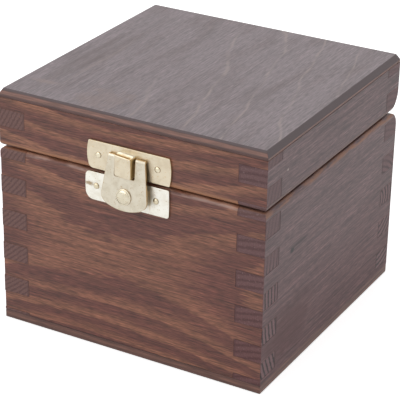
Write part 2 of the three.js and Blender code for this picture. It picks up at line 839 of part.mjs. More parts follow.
const woodenBox = new THREE.Group();

function place(name, shape, material) {
  const mesh = new THREE.Mesh(drawn(shape), material());
  mesh.name = name;
  woodenBox.add(mesh);
}

const baseForm = outerForm(baseOutline, backRound);
const lidForm = outerForm(lidOutline, lidBackRound);
const baseSpare = { below: 0, above: overrun };
const baseBoards = combBoards(0, baseBoardHeight, bottomPanelThickness, baseSpare);
const lidFrom = baseBoardHeight + sawKerf;
const lidSpare = { below: overrun, above: 0 };
const lidBoards = combBoards(lidFrom, lidFrom + lidBoardHeight, lidBottom, lidSpare);

const hingeCentres = { left: -hingeReach, right: hingeReach };
const recesses = (side) => Object.values(hingeCentres).flatMap((x) => hingeRecess(x, side));
const nailHoles = (plate) => plateNailPlaces(plate).map(plateNailHole);
const boardCuts = {
  base: { front: nailHoles(basePlate), back: recesses(-1), left: [], right: [] },
  lid: { front: nailHoles(keeper), back: recesses(1), left: [], right: [] },
};
for (const side of ['front', 'back', 'left', 'right']) {
  const grain = side === 'front' || side === 'back' ? walnut : sideWalnut;
  const low = baseBoards[side].intersect(baseForm);
  place(`base_${side}_board`, cutBy(low, boardCuts.base[side]), grain);
  const high = lidBoards[side].intersect(lidForm);
  place(`lid_${side}_board`, cutBy(high, boardCuts.lid[side]), grain);
}

const acrossWidth = [-boxWidth / 2 - overrun, boxWidth / 2 + overrun];
const acrossDepth = [front - overrun, back + overrun];
const bottomBlank = slab(acrossWidth, acrossDepth, [-overrun, bottomPanelThickness]);
const topBlank = slab(acrossWidth, acrossDepth, [lidBoardTop, lidTop + overrun]);
place('bottom_panel', bottomBlank.intersect(baseForm), panelPly);
place('top_panel', topBlank.intersect(lidForm), panelPly);

for (const [hand, centre] of Object.entries(hingeCentres)) {
  place(`hinge_${hand}_base_leaf`, hingeLeaf(centre, -1), hingeBrass);
  place(`hinge_${hand}_lid_leaf`, hingeLeaf(centre, 1), hingeBrass);
  place(`hinge_${hand}_pin`, hingePin(centre), steel);
  hingeNailPlaces(centre, -1).forEach((spot, i) => {
    place(`hinge_${hand}_base_nail_${i + 1}`, hingeNail(spot, upwards), hingeBrass);
  });
  hingeNailPlaces(centre, 1).forEach((spot, i) => {
    place(`hinge_${hand}_lid_nail_${i + 1}`, hingeNail(spot, downwards), hingeBrass);
  });
}

place('latch_keeper_plate', keeperPlate(), paleBrass);
place('latch_base_plate', lowerPlate(), paleBrass);
place('latch_lever', forkedLever(), paleBrass);
place('latch_rivet', rivet(), paleBrass);
place('latch_spring', hairpinSpring(), steel);
['left', 'right'].forEach((hand, i) => {
  place(`keeper_nail_${hand}`, plateNail(plateNailPlaces(keeper)[i]), paleBrass);
  place(`base_plate_nail_${hand}`, plateNail(plateNailPlaces(basePlate)[i]), paleBrass);
});

export default woodenBox;
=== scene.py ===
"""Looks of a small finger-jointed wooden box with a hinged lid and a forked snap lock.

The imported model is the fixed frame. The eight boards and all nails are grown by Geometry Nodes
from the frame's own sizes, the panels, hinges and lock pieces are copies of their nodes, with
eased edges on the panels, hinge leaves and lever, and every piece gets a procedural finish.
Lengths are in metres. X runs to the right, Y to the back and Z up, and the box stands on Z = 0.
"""

import json
import logging
import math
from dataclasses import dataclass, field, fields
from enum import Enum
from functools import reduce
from typing import Callable, Iterable, Mapping, Sequence, Union

import bmesh
import bpy
from mathutils import Matrix, Vector
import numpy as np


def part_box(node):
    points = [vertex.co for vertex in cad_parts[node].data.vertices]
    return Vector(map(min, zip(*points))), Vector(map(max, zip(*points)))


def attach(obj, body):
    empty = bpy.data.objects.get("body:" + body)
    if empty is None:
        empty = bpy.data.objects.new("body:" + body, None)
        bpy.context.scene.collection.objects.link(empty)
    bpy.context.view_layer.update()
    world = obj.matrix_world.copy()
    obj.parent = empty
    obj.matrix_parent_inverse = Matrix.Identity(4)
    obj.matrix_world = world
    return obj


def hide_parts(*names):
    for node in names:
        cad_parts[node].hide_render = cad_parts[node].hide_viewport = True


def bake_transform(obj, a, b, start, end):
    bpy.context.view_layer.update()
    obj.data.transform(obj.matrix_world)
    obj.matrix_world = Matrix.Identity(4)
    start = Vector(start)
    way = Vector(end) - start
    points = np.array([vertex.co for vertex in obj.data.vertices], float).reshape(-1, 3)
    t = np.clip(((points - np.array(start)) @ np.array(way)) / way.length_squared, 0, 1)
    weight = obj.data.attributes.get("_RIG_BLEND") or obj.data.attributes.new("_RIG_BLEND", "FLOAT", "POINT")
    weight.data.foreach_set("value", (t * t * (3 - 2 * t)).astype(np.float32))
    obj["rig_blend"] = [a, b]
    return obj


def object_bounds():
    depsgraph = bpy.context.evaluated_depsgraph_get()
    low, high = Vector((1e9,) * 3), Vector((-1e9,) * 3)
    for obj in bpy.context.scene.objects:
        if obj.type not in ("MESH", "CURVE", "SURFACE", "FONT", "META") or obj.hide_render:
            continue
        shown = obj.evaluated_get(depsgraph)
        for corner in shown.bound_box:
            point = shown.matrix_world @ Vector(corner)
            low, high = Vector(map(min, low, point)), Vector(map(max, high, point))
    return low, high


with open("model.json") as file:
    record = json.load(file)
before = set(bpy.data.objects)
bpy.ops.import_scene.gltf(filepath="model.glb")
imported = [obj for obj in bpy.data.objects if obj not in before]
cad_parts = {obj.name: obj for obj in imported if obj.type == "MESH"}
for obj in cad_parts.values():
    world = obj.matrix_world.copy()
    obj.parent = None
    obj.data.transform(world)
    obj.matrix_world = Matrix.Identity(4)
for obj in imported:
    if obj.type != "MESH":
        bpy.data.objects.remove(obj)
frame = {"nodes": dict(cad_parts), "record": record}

LOG = logging.getLogger("wooden_box")
CAD_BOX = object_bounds()

Triple = tuple[float, float, float]
Colour = Triple
Band = tuple[float, float]
Pulse = tuple[float, float, float, float]
Socket = bpy.types.NodeSocket
Outputs = Mapping[str, Socket]
Source = Union[Socket, float, int, bool, Triple]

# Corners of a copied mesh that are closer than WELD count as one, and triangles that turn by less
# than FLAT_UNDER are one face. Cutters and bars reach OVERRUN too far.
WELD = 1e-6
FLAT_UNDER = math.radians(0.4)
OVERRUN = 0.001

WHITE = (1.0, 1.0, 1.0)
HANDS = ("left", "right")
UP = Vector((0, 0, 1))


class Axis(Enum):
    """The axes of the frame, by their place in a vector."""

    X = 0
    Y = 1
    Z = 2


class Side(Enum):
    """The four walls of the box."""

    FRONT = "front"
    BACK = "back"
    LEFT = "left"
    RIGHT = "right"

    @property
    def along(self) -> Axis:
        """The axis that the wall's boards and their fibres run along."""
        return Axis.X if self in (Side.FRONT, Side.BACK) else Axis.Y

    @property
    def through(self) -> Axis:
        """The axis that runs through the wall's thickness."""
        return Axis.Y if self.along is Axis.X else Axis.X

    @property
    def outward(self) -> int:
        """The sign of the wall's outer face on its through axis."""
        return -1 if self in (Side.FRONT, Side.LEFT) else 1

    @property
    def ends(self) -> tuple["Side", "Side"]:
        """The walls that it meets at its low and at its high end."""
        return (Side.LEFT, Side.RIGHT) if self.along is Axis.X else (Side.FRONT, Side.BACK)


@dataclass(frozen=True)
class Pattern:
    """A noise: how finely it runs along each axis, and how its octaves add up."""

    scale: Source
    detail: float = 2.0
    roughness: float = 0.5
    distortion: float = 0.0


class Graph:
    """A node tree with short calls that add nodes and join them."""

    def __init__(self, tree: bpy.types.NodeTree) -> None:
        """Keeps the node tree that the nodes go into."""
        self.tree = tree

    def node(
        self,
        kind: str,
        inputs: Mapping[Union[str, int], Source] | None = None,
        **settings: object,
    ) -> bpy.types.Node:
        """Adds one node.

        Args:
            kind: the node's type.
            inputs: what feeds its sockets, by name or number.
            settings: properties of the node itself.

        Returns:
            The new node.
        """
        node = self.tree.nodes.new(kind)
        for name, value in settings.items():
            setattr(node, name, value)
        for key, source in (inputs or {}).items():
            self.feed(node.inputs[key], source)
        return node

    def made(
        self, kind: str, inputs: Mapping[Union[str, int], Source], **settings: object
    ) -> Socket:
        """Adds one node, as node() does, and returns its first output."""
        return self.node(kind, inputs, **settings).outputs[0]

    def feed(self, socket: Socket, source: Source) -> None:
        """Links a socket to another one, or sets its own value.

        Args:
            socket: the input to feed.
            source: an output socket or a plain value; colours have no alpha.
        """
        if isinstance(source, Socket):
            self.tree.links.new(source, socket)
        else:
            socket.default_value = (*source, 1.0) if socket.type == "RGBA" else source

    def math(self, operation: str, *terms: Source, clamp: bool = False) -> Socket:
        """The result of a Math node, kept between 0 and 1 if it is clamped."""
        settings = {"operation": operation, "use_clamp": clamp}
        return self.made("ShaderNodeMath", dict(enumerate(terms)), **settings)

    def times(self, *terms: Source) -> Source:
        """The product of one or more numbers."""
        return reduce(lambda first, second: self.math("MULTIPLY", first, second), terms)

    def plus_times(self, value: Source, factor: Source, base: Source) -> Socket:
        """A base plus a value times a factor."""
        return self.math("MULTIPLY_ADD", value, factor, base)

    def rest(self, value: Source) -> Socket:
        """What a value leaves of 1."""
        return self.math("SUBTRACT", 1.0, value)

    def swing(self, noise: Source, reach: Source, base: Source) -> Socket:
        """A number that swings around a base as a noise does around a half."""
        return self.plus_times(self.math("SUBTRACT", noise, 0.5), reach, base)

    def vector(self, operation: str, *terms: Source) -> Socket:
        """Adds a Vector Math node.

        Args:
            operation: the node's operation.
            terms: its inputs in order; for SCALE the second is the factor.

        Returns:
            The output that the operation fills.
        """
        keys = (0, "Scale") if operation == "SCALE" else range(len(terms))
        node = self.node("ShaderNodeVectorMath", dict(zip(keys, terms)), operation=operation)
        return node.outputs["Value" if operation == "DOT_PRODUCT" else "Vector"]

    def parts(self, vector: Source) -> list[Socket]:
        """The three parts of a vector."""
        return list(self.node("ShaderNodeSeparateXYZ", {0: vector}).outputs)

    def whole(self, *parts: Source) -> Socket:
        """A vector of three parts."""
        return self.made("ShaderNodeCombineXYZ", dict(enumerate(parts)))

    def smooth(self, value: Source, band: Band) -> Socket:
        """A smooth step from 0 at the band's start to 1 at its end."""
        inputs = {"Value": value, "From Min": band[0], "From Max": band[1]}
        return self.made("ShaderNodeMapRange", inputs, interpolation_type="SMOOTHSTEP")

    def pulse(self, value: Source, steps: Pulse) -> Socket:
        """A mask that rises between the first two steps and falls between the last two."""
        fall = self.rest(self.smooth(value, steps[2:]))
        return self.times(self.smooth(value, steps[:2]), fall)

    def noise(self, pattern: Pattern, place: Source, seed: Source | None = None) -> Socket:
        """Adds a Noise Texture.

        Args:
            pattern: how the noise runs.
            place: the coordinate.
            seed: what is added to the scaled coordinate, if anything.

        Returns:
            The noise, between 0 and 1 around a half.
        """
        stretch = "MULTIPLY" if isinstance(pattern.scale, tuple) else "SCALE"
        place = self.vector(stretch, place, pattern.scale)
        if seed is not None:
            place = self.vector("ADD", place, seed)
        inputs = {
            "Vector": place,
            "Scale": 1.0,
            "Detail": pattern.detail,
            "Roughness": pattern.roughness,
            "Distortion": pattern.distortion,
        }
        return self.node("ShaderNodeTexNoise", inputs).outputs["Fac"]

    def blend(self, share: Source, first: Source, second: Source) -> Socket:
        """The first colour with a share of the second."""
        node = self.node("ShaderNodeMix", {0: share, 6: first, 7: second}, data_type="RGBA")
        return node.outputs[2]

    def painted(self, colour: Source, paint: Source, *shares: Source) -> Socket:
        """A colour with a paint over it, as dense as the product of the shares."""
        return self.blend(self.times(*shares), colour, paint)

    def swayed(self, colour: Source, noise: Source, reach: float) -> Socket:
        """A colour that a noise around a half makes lighter and darker."""
        return self.vector("SCALE", colour, self.plus_times(noise, reach, 1 - reach / 2))


FLOAT = "NodeSocketFloat"
VECTOR = "NodeSocketVector"
INTEGER = "NodeSocketInt"
SWITCH = "NodeSocketBool"
OBJECT = "NodeSocketObject"
MATERIAL = "NodeSocketMaterial"
GEOMETRY = "NodeSocketGeometry"
SHADER_TREE = "ShaderNodeTree"
GEOMETRY_TREE = "GeometryNodeTree"


class Group:
    """A node group with named inputs and outputs, filled through its graph."""

    def __init__(
        self, name: str, kind: str, inputs: Mapping[str, str], outputs: Mapping[str, str]
    ) -> None:
        """Creates the group.

        Args:
            name: the group's name.
            kind: the type of its tree.
            inputs: the kinds of its input sockets, by name.
            outputs: the kinds of its output sockets, by name.
        """
        self.tree = bpy.data.node_groups.new(name, kind)
        for way, sockets in (("INPUT", inputs), ("OUTPUT", outputs)):
            for socket, socket_kind in sockets.items():
                self.tree.interface.new_socket(socket, in_out=way, socket_type=socket_kind)
        self.graph = Graph(self.tree)
        self.given = self.graph.node("NodeGroupInput").outputs
        self.result = self.graph.node("NodeGroupOutput").inputs

    def give(self, results: Mapping[str, Source]) -> None:
        """Feeds the group's outputs, by name."""
        for name, source in results.items():
            self.graph.feed(self.result[name], source)

    def give_dressed(self, geometry: Socket) -> None:
        """Gives geometry as the group's mesh, real and with its finish.

        Args:
            geometry: what the group has made.
        """
        real = self.graph.made("GeometryNodeRealizeInstances", {"Geometry": geometry})
        inputs = {"Geometry": real, "Material": self.given["Finish"]}
        self.give({"Mesh": self.graph.made("GeometryNodeSetMaterial", inputs)})

    def placed(self, graph: Graph, inputs: Mapping[str, Source]) -> Outputs:
        """Puts the group into a material's tree and returns its outputs there."""
        return graph.node("ShaderNodeGroup", inputs, node_tree=self.tree).outputs


class Effects:
    """The shader groups that several finishes share, each built once."""

    # Growth rings: how they drift and how they are feathered, and how far the feathers reach
    DRIFT = Pattern((16.0, 50.0, 50.0))
    FEATHERS = Pattern((110.0, 900.0, 900.0), 3.0)
    FEATHER_REACH = 0.0009
    # Wood fibres from coarse to fine, all drawn out along the grain
    STREAKS = Pattern((26.0, 480.0, 480.0), 3.0, 0.6)
    THREADS = Pattern((50.0, 1600.0, 1600.0), 2.0, 0.7)
    FIBRES = Pattern((300.0, 2700.0, 2700.0), 1.0, 0.6)
    PITS = Pattern((650.0, 5200.0, 5200.0), 1.0)
    PORE_BAND = (0.62, 0.78)
    FIBRE_HEIGHT = 0.6
    # Worn edges: how round they are, how far the normals may agree and where wear is left out
    EDGE_ROUND = 0.0004
    EDGE_SAMPLES = 6
    AGREEMENT_BAND = (0.8, 0.995)
    BREAKUP_BAND = (0.3, 0.6)
    # Rubbed patches and the frayed rims of marks
    RUBBED_DETAIL = (5.0, 0.62, 0.4)
    RUBBED_BAND = (0.38, 0.68)
    FRAYING = Pattern(2.2, 4.0, 0.65)
    MARK_BAND = (0.35, 1.0)

    def __init__(self) -> None:
        """Builds the groups."""
        self.rings = self._growth_rings()
        self.fibres = self._wood_fibres()
        self.edges = self._worn_edges()
        self.handling = self._handling_marks()
        self.mark = self._soft_mark()

    def _growth_rings(self) -> Group:
        """The rings of the log that a board was cut from, on its faces and end grain alike.

        Returns:
            A group that puts out how far through its ring a place is, and the ring's own tone.
        """
        sizes = [item for item in LOG_SIZES if item != "Seed"]
        inputs = {"Place": VECTOR, **dict.fromkeys(sizes, FLOAT), "Seed": VECTOR}
        group = Group("Growth rings", SHADER_TREE, inputs, {"Part": FLOAT, "Tone": FLOAT})
        graph, given = group.graph, group.given
        along, across, depth = graph.parts(given["Place"])
        slow = graph.noise(self.DRIFT, given["Place"], given["Seed"])
        fine = graph.noise(self.FEATHERS, given["Place"], given["Seed"])
        tilt = graph.plus_times(along, given["Slope"], given["Pith Height"])
        plain = graph.math("SUBTRACT", across, tilt)
        leaning = graph.times(graph.math("MAXIMUM", plain, 0.0), given["Lean"])
        height = graph.math("SUBTRACT", plain, leaning)
        from_centre = graph.math("SUBTRACT", along, given["Bow Centre"])
        bow = graph.times(from_centre, from_centre, given["Bow"])
        inward = graph.math("ADD", graph.math("ADD", depth, given["Pith Depth"]), bow)
        square = graph.plus_times(height, height, graph.times(inward, inward))
        radius = graph.swing(slow, given["Waver"], graph.math("SQRT", square))
        radius = graph.swing(fine, self.FEATHER_REACH, radius)
        rings = graph.math("DIVIDE", radius, given["Ring Pitch"])
        phase = graph.math("ADD", rings, given["Ring Start"])
        number = {"W": graph.math("FLOOR", phase)}
        ring = graph.node("ShaderNodeTexWhiteNoise", number, noise_dimensions="1D")
        group.give({"Part": graph.math("FRACT", phase), "Tone": ring.outputs["Value"]})
        return group

    def _wood_fibres(self) -> Group:
        """The fibres of a board, drawn out along its grain.

        Returns:
            A group that puts out broad streaks, threads, fine fibres, dark pores and a height.
        """
        results = dict.fromkeys(("Streaks", "Threads", "Fibres", "Pores", "Height"), FLOAT)
        group = Group("Wood fibres", SHADER_TREE, {"Place": VECTOR, "Seed": VECTOR}, results)
        graph, given = group.graph, group.given
        streaks, threads, fibres, pits = (
            graph.noise(pattern, given["Place"], given["Seed"])
            for pattern in (self.STREAKS, self.THREADS, self.FIBRES, self.PITS)
        )
        pores = graph.smooth(pits, self.PORE_BAND)
        raised = graph.times(threads, 1 - self.FIBRE_HEIGHT)
        raised = graph.plus_times(fibres, self.FIBRE_HEIGHT, raised)
        height = graph.math("SUBTRACT", raised, pores)
        group.give(dict(zip(results, (streaks, threads, fibres, pores, height))))
        return group

    def _worn_edges(self) -> Group:
        """Where a convex edge runs, by how far a rounded normal leaves the real one.

        Returns:
            A group that puts out a mask of the edges.
        """
        group = Group("Worn edges", SHADER_TREE, {"Breakup": FLOAT}, {"Edge": FLOAT})
        graph = group.graph
        bevel = {"Radius": self.EDGE_ROUND}
        rounded = graph.made("ShaderNodeBevel", bevel, samples=self.EDGE_SAMPLES)
        plain = graph.node("ShaderNodeNewGeometry").outputs["Normal"]
        agreement = graph.vector("DOT_PRODUCT", rounded, plain)
        edge = graph.rest(graph.smooth(agreement, self.AGREEMENT_BAND))
        patchy = graph.smooth(group.given["Breakup"], self.BREAKUP_BAND)
        group.give({"Edge": graph.math("MULTIPLY", edge, patchy, clamp=True)})
        return group

    def _handling_marks(self) -> Group:
        """Faint smears and rubbed patches from hands.

        Returns:
            A group that puts out a mask of the rubbed patches.
        """
        inputs = {"Place": VECTOR, "Scale": FLOAT}
        group = Group("Handling marks", SHADER_TREE, inputs, {"Rubbed": FLOAT})
        graph, given = group.graph, group.given
        patches = graph.noise(Pattern(given["Scale"], *self.RUBBED_DETAIL), given["Place"])
        group.give({"Rubbed": graph.smooth(patches, self.RUBBED_BAND)})
        return group

    def _soft_mark(self) -> Group:
        """A frayed oval spot, such as a knot, a smear or a rubbed patch.

        Returns:
            A group that puts out a mask of the spot.
        """
        inputs = {**dict.fromkeys(("Place", "Centre", "Stretch"), VECTOR), "Fray": FLOAT}
        group = Group("Soft mark", SHADER_TREE, inputs, {"Mask": FLOAT})
        graph, given = group.graph, group.given
        from_centre = graph.vector("SUBTRACT", given["Place"], given["Centre"])
        oval = graph.vector("MULTIPLY", from_centre, given["Stretch"])
        reach = graph.math("SQRT", graph.vector("DOT_PRODUCT", oval, oval))
        frayed = graph.swing(graph.noise(self.FRAYING, oval), given["Fray"], reach)
        group.give({"Mask": graph.rest(graph.smooth(frayed, self.MARK_BAND))})
        return group


def blank(owner: Union[bpy.types.Material, bpy.types.World]) -> Graph:
    """Empties the node tree of a material or a world.

    Args:
        owner: the material or world.

    Returns:
        The graph of its tree.
    """
    owner.use_nodes = True
    owner.node_tree.nodes.clear()
    return Graph(owner.node_tree)


@dataclass(frozen=True)
class Relief:
    """The fine relief of a surface: how strongly it shows and how deep it is."""

    strength: float
    depth: float


# The thin coat of hardened oil on the wood, and what makes plating a metal
OILED = {"Coat Weight": 0.1, "Coat Roughness": 0.35}
METALLIC = {"Metallic": 1.0}


class Surface:
    """A material in the making, around one Principled BSDF."""

    def __init__(self, name: str) -> None:
        """Creates the material and reads where the surface is and which way it faces.

        Args:
            name: the material's name.
        """
        self.material = bpy.data.materials.new(name)
        self.graph = blank(self.material)
        self.shader = self.graph.node("ShaderNodeBsdfPrincipled")
        self.graph.node("ShaderNodeOutputMaterial", {"Surface": self.shader.outputs[0]})
        spot = self.graph.node("ShaderNodeTexCoord").outputs
        self.place = spot["Object"]
        self.facing = self.graph.parts(self.graph.vector("ABSOLUTE", spot["Normal"]))

    def facing_along(self, axis: Axis, band: Band) -> Socket:
        """How far the surface faces along an axis, either way, as a mask."""
        return self.graph.smooth(self.facing[axis.value], band)

    def finished(
        self,
        colour: Source,
        roughness: Source,
        height: Source,
        relief: Relief,
        constants: Mapping[str, float],
    ) -> bpy.types.Material:
        """Feeds the shader.

        Args:
            colour: the surface's colour.
            roughness: its roughness.
            height: the height of its relief.
            relief: how the relief shows.
            constants: the values of other sockets, by name.

        Returns:
            The material.
        """
        bumps = {"Strength": relief.strength, "Distance": relief.depth, "Height": height}
        normal = self.graph.made("ShaderNodeBump", bumps)
        inputs = {"Base Color": colour, "Roughness": roughness, "Normal": normal, **constants}
        for name, source in inputs.items():
            self.graph.feed(self.shader.inputs[name], source)
        return self.material


@dataclass(frozen=True)
class Mark:
    """One spot on a finish: where it is, how far it reaches and what it does to the colour."""

    centre: Triple
    reach: Triple
    colour: Colour
    strength: float
    fray: float = 1.2

    def painted(self, graph: Graph, effects: Effects, place: Source, colour: Source) -> Source:
        """Adds the spot to a colour.

        Args:
            graph: the material's graph.
            effects: the shared shader groups.
            place: the coordinate of the surface.
            colour: the colour under the spot.

        Returns:
            The colour with the spot.
        """
        stretch = tuple(1.0 / length for length in self.reach)
        inputs = {"Place": place, "Centre": self.centre, "Stretch": stretch, "Fray": self.fray}
        mask = effects.mark.placed(graph, inputs)["Mask"]
        return graph.painted(colour, self.colour, mask, self.strength)


@dataclass(frozen=True)
class LogCut:
    """How a board lay in its log: where the pith was, and how the rings ran."""

    pith_height: float
    pith_depth: float
    bow: float = 0.3
    bow_centre: float = 0.0
    slope: float = 0.0
    lean: float = 0.0
    ring_pitch: float = 0.0022
    ring_start: float = 0.0
    waver: float = 0.0016
    seed: Triple = (0.0, 0.0, 0.0)

    def rings(self, graph: Graph, effects: Effects, place: Source) -> Outputs:
        """The rings at a place, given along, across and into the board."""
        sizes = {name: getattr(self, item.name) for name, item in LOG_SIZES.items()}
        return effects.rings.placed(graph, {"Place": place, **sizes})


# The fields of a log cut by the names of the ring group's inputs
LOG_SIZES = {item.name.replace("_", " ").title(): item for item in fields(LogCut)}


@dataclass(frozen=True)
class WallSpot:
    """What the finish of a wall knows of a place on it.

    The place is given along, up and into the wall. The end and the rim are the shares of end
    grain and of sawn face, and the rings and fibres are the outputs of their groups.
    """

    place: Socket
    up: Socket
    end: Socket
    rim: Socket
    rings: Outputs
    fibres: Outputs


@dataclass(frozen=True)
class StainedWood:
    """Walnut-stained, oiled solid wood of one wall, the same from base to lid as it was sawn.

    The stain sank into the early wood, so the late wood is the lighter part of each ring. Bands
    and pulses are the steps of masks, and shares and sways say how strongly something shows.
    """

    name: str
    side: Side
    log: LogCut
    early: Colour = (0.130, 0.045, 0.034)
    late: Colour = (0.268, 0.115, 0.068)
    end_early: Colour = (0.024, 0.011, 0.012)
    end_late: Colour = (0.100, 0.052, 0.052)
    # Rub wear and painted highlight on the rims beside the split
    worn_base: Colour = (0.270, 0.125, 0.070)
    worn_lid: Colour = (0.420, 0.190, 0.095)
    worn_base_share: float = 0.5
    worn_base_reach: float = 0.0018
    figure: float = 1.0
    thread_sway: float = 2.5
    fibre_sway: float = 1.9
    # Painted shade: a tint that darkens and reddens the wall towards its foot, standing in for the weaker
    # sheen reflected from the floor there
    foot_tint: Colour = (0.99, 0.96, 0.97)
    foot_matte: float = 0.0
    end_clear_below: float = 0.2
    marks: Sequence[Mark] = ()
    # Which way the end grain and the sawn faces turn
    end_band: Band = (0.45, 0.75)
    rim_band: Band = (0.6, 0.9)
    # Gloss and relief
    roughness: float = 0.46
    foot_height: float = 0.05
    end_matte: float = 0.12
    thread_matte: float = 0.1
    relief: Relief = Relief(0.4, 0.00006)
    # Long grain
    late_wood: Pulse = (0.3, 0.8, 0.9, 1.0)
    ring_sway: float = 0.4
    unfigured_share: float = 0.4
    streak_sway: float = 0.95
    blotches: Pattern = Pattern((30.0, 70.0, 70.0))
    blotch_sway: float = 0.6
    pore_share: float = 0.4
    # End grain, whose stripes fade higher up the box
    stripe: Pulse = (0.1, 0.4, 0.72, 1.0)
    end_fade: float = 0.012
    filled_level: float = 0.5
    filled_loss: float = 0.75
    grit: Pattern = Pattern(2300.0)
    grit_sway: float = 1.1
    specks: Pattern = Pattern(1500.0, 0.0)
    speck_band: Band = (0.7, 0.78)
    speck_share: float = 0.45
    glue_line: Band = (0.0091, 0.0097)
    glue_share: float = 0.6
    # Rubbed wood beside the split and on the arrises, with a painted highlight on the rims' rounds and
    # painted light on the sawn faces in the split's shaded gap
    patches: Pattern = Pattern((130.0, 700.0, 0.0), 4.0)
    patch_band: Band = (0.36, 0.62)
    worn_base_end: Band = (-0.0004, -0.0002)
    worn_lid_steps: Pulse = (0.0001, 0.0003, 0.0014, 0.0025)
    end_unworn: float = 0.9
    rim_share: float = 0.3
    arris_share: float = 0.1

    def material(
        self, effects: Effects, face: float, split: float, top: float
    ) -> bpy.types.Material:
        """Builds the material.

        Args:
            effects: the shared shader groups.
            face: where the wall's outer face lies on its through axis.
            split: the height of the split between base and lid.
            top: the height of the wall's upper edge.

        Returns:
            The finished material.
        """
        surface = Surface(self.name)
        graph = surface.graph
        parts = graph.parts(surface.place)
        up = parts[Axis.Z.value]
        depth = graph.math("SUBTRACT", face, parts[self.side.through.value])
        depth = graph.times(depth, float(self.side.outward))
        place = graph.whole(parts[self.side.along.value], up, depth)
        spot = WallSpot(
            place,
            up,
            end=surface.facing_along(self.side.along, self.end_band),
            rim=surface.facing_along(Axis.Z, self.rim_band),
            rings=self.log.rings(graph, effects, place),
            fibres=effects.fibres.placed(graph, {"Place": place, "Seed": self.log.seed}),
        )
        length = self._long_grain(graph, spot)
        for mark in self.marks:
            length = mark.painted(graph, effects, place, length)
        colour = graph.blend(spot.end, length, self._end_grain(graph, spot))
        # Painted shade: the colour darkens and reddens from the wall's top down to its foot
        foot_shade = graph.blend(graph.smooth(up, (0.0, top)), self.foot_tint, WHITE)
        colour = graph.vector("MULTIPLY", colour, foot_shade)
        colour = self._worn(graph, effects, spot, split, colour)

        above_foot = graph.smooth(up, (0.0, self.foot_height))
        foot = graph.plus_times(above_foot, -self.foot_matte, self.roughness + self.foot_matte)
        satin = graph.plus_times(spot.end, self.end_matte, foot)
        roughness = graph.plus_times(spot.fibres["Threads"], self.thread_matte, satin)
        height = spot.fibres["Height"]
        return surface.finished(colour, roughness, height, self.relief, OILED)

    def _long_grain(self, graph: Graph, spot: WallSpot) -> Source:
        """The colour of the long grain: light late wood, streaks, threads and pores.

        Args:
            graph: the material's graph.
            spot: the place on the wall.

        Returns:
            The colour.
        """
        bands = graph.pulse(spot.rings["Part"], self.late_wood)
        tone = graph.plus_times(spot.rings["Tone"], self.ring_sway, 1.0 - self.ring_sway)
        light = graph.times(bands, tone, self.figure)
        unfigured = (1.0 - self.figure) * self.unfigured_share
        loose = graph.swing(spot.fibres["Streaks"], self.streak_sway, unfigured)
        blotches = graph.noise(self.blotches, spot.place, self.log.seed)
        mottled = graph.swing(blotches, self.blotch_sway, loose)
        share = graph.math("ADD", light, mottled, clamp=True)
        colour = graph.blend(share, self.early, self.late)
        colour = graph.swayed(colour, spot.fibres["Threads"], self.thread_sway)
        colour = graph.swayed(colour, spot.fibres["Fibres"], self.fibre_sway)
        return graph.painted(colour, self.early, spot.fibres["Pores"], self.pore_share)

    def _end_grain(self, graph: Graph, spot: WallSpot) -> Source:
        """The colour of the end grain: the rings cut across, clear low down and faded higher up.

        Args:
            graph: the material's graph.
            spot: the place on the wall.

        Returns:
            The colour.
        """
        stripes = graph.pulse(spot.rings["Part"], self.stripe)
        fade = (self.end_clear_below, self.end_clear_below + self.end_fade)
        # Above end_clear_below the stripes fade towards an even middle tone
        filled = graph.smooth(spot.up, fade)
        clear = graph.plus_times(filled, -self.filled_loss, 1.0)
        share = graph.plus_times(stripes, clear, graph.times(filled, self.filled_level))
        colour = graph.blend(share, self.end_early, self.end_late)
        colour = graph.swayed(colour, graph.noise(self.grit, spot.place), self.grit_sway)
        specks = graph.smooth(graph.noise(self.specks, spot.place), self.speck_band)
        colour = graph.painted(colour, self.late, specks, self.speck_share)
        glued = graph.smooth(graph.parts(spot.place)[2], self.glue_line)
        return graph.painted(colour, self.end_early, glued, self.glue_share)

    def _worn(
        self, graph: Graph, effects: Effects, spot: WallSpot, split: float, colour: Source
    ) -> Source:
        """Rubs the colour off the rims beside the split and off the arrises, and paints light there: a
        highlight on the rims' rounds and light on the sawn faces in the split's shaded gap.

        Args:
            graph: the material's graph.
            effects: the shared shader groups.
            spot: the place on the wall.
            split: the height of the split between base and lid.
            colour: the colour before it is rubbed.

        Returns:
            The rubbed colour with its painted light.
        """
        above = graph.math("SUBTRACT", spot.up, split)
        long = graph.plus_times(spot.end, -self.end_unworn, 1.0)
        patches = graph.smooth(graph.noise(self.patches, spot.place), self.patch_band)
        reach = self.worn_base_reach
        on_base = graph.pulse(above, (-reach, -reach / 2, *self.worn_base_end))
        on_lid = graph.pulse(above, self.worn_lid_steps)
        threads = graph.plus_times(spot.fibres["Threads"], 0.5, 0.5)
        edge = effects.edges.placed(graph, {"Breakup": spot.fibres["Streaks"]})["Edge"]
        # Rub wear and painted highlight: a pale band along the base's top round
        shares = (on_base, patches, self.worn_base_share, long)
        colour = graph.painted(colour, self.worn_base, *shares)
        # Rub wear and painted highlight: an orange band along the lid's lower round, which faces down into
        # shade
        colour = graph.painted(colour, self.worn_lid, on_lid, threads, long)
        # Painted light: the sawn rim faces in the split's shaded gap take the lid's rub colour
        colour = graph.painted(colour, self.worn_lid, spot.rim, self.rim_share)
        return graph.painted(colour, self.worn_lid, edge, self.arris_share)


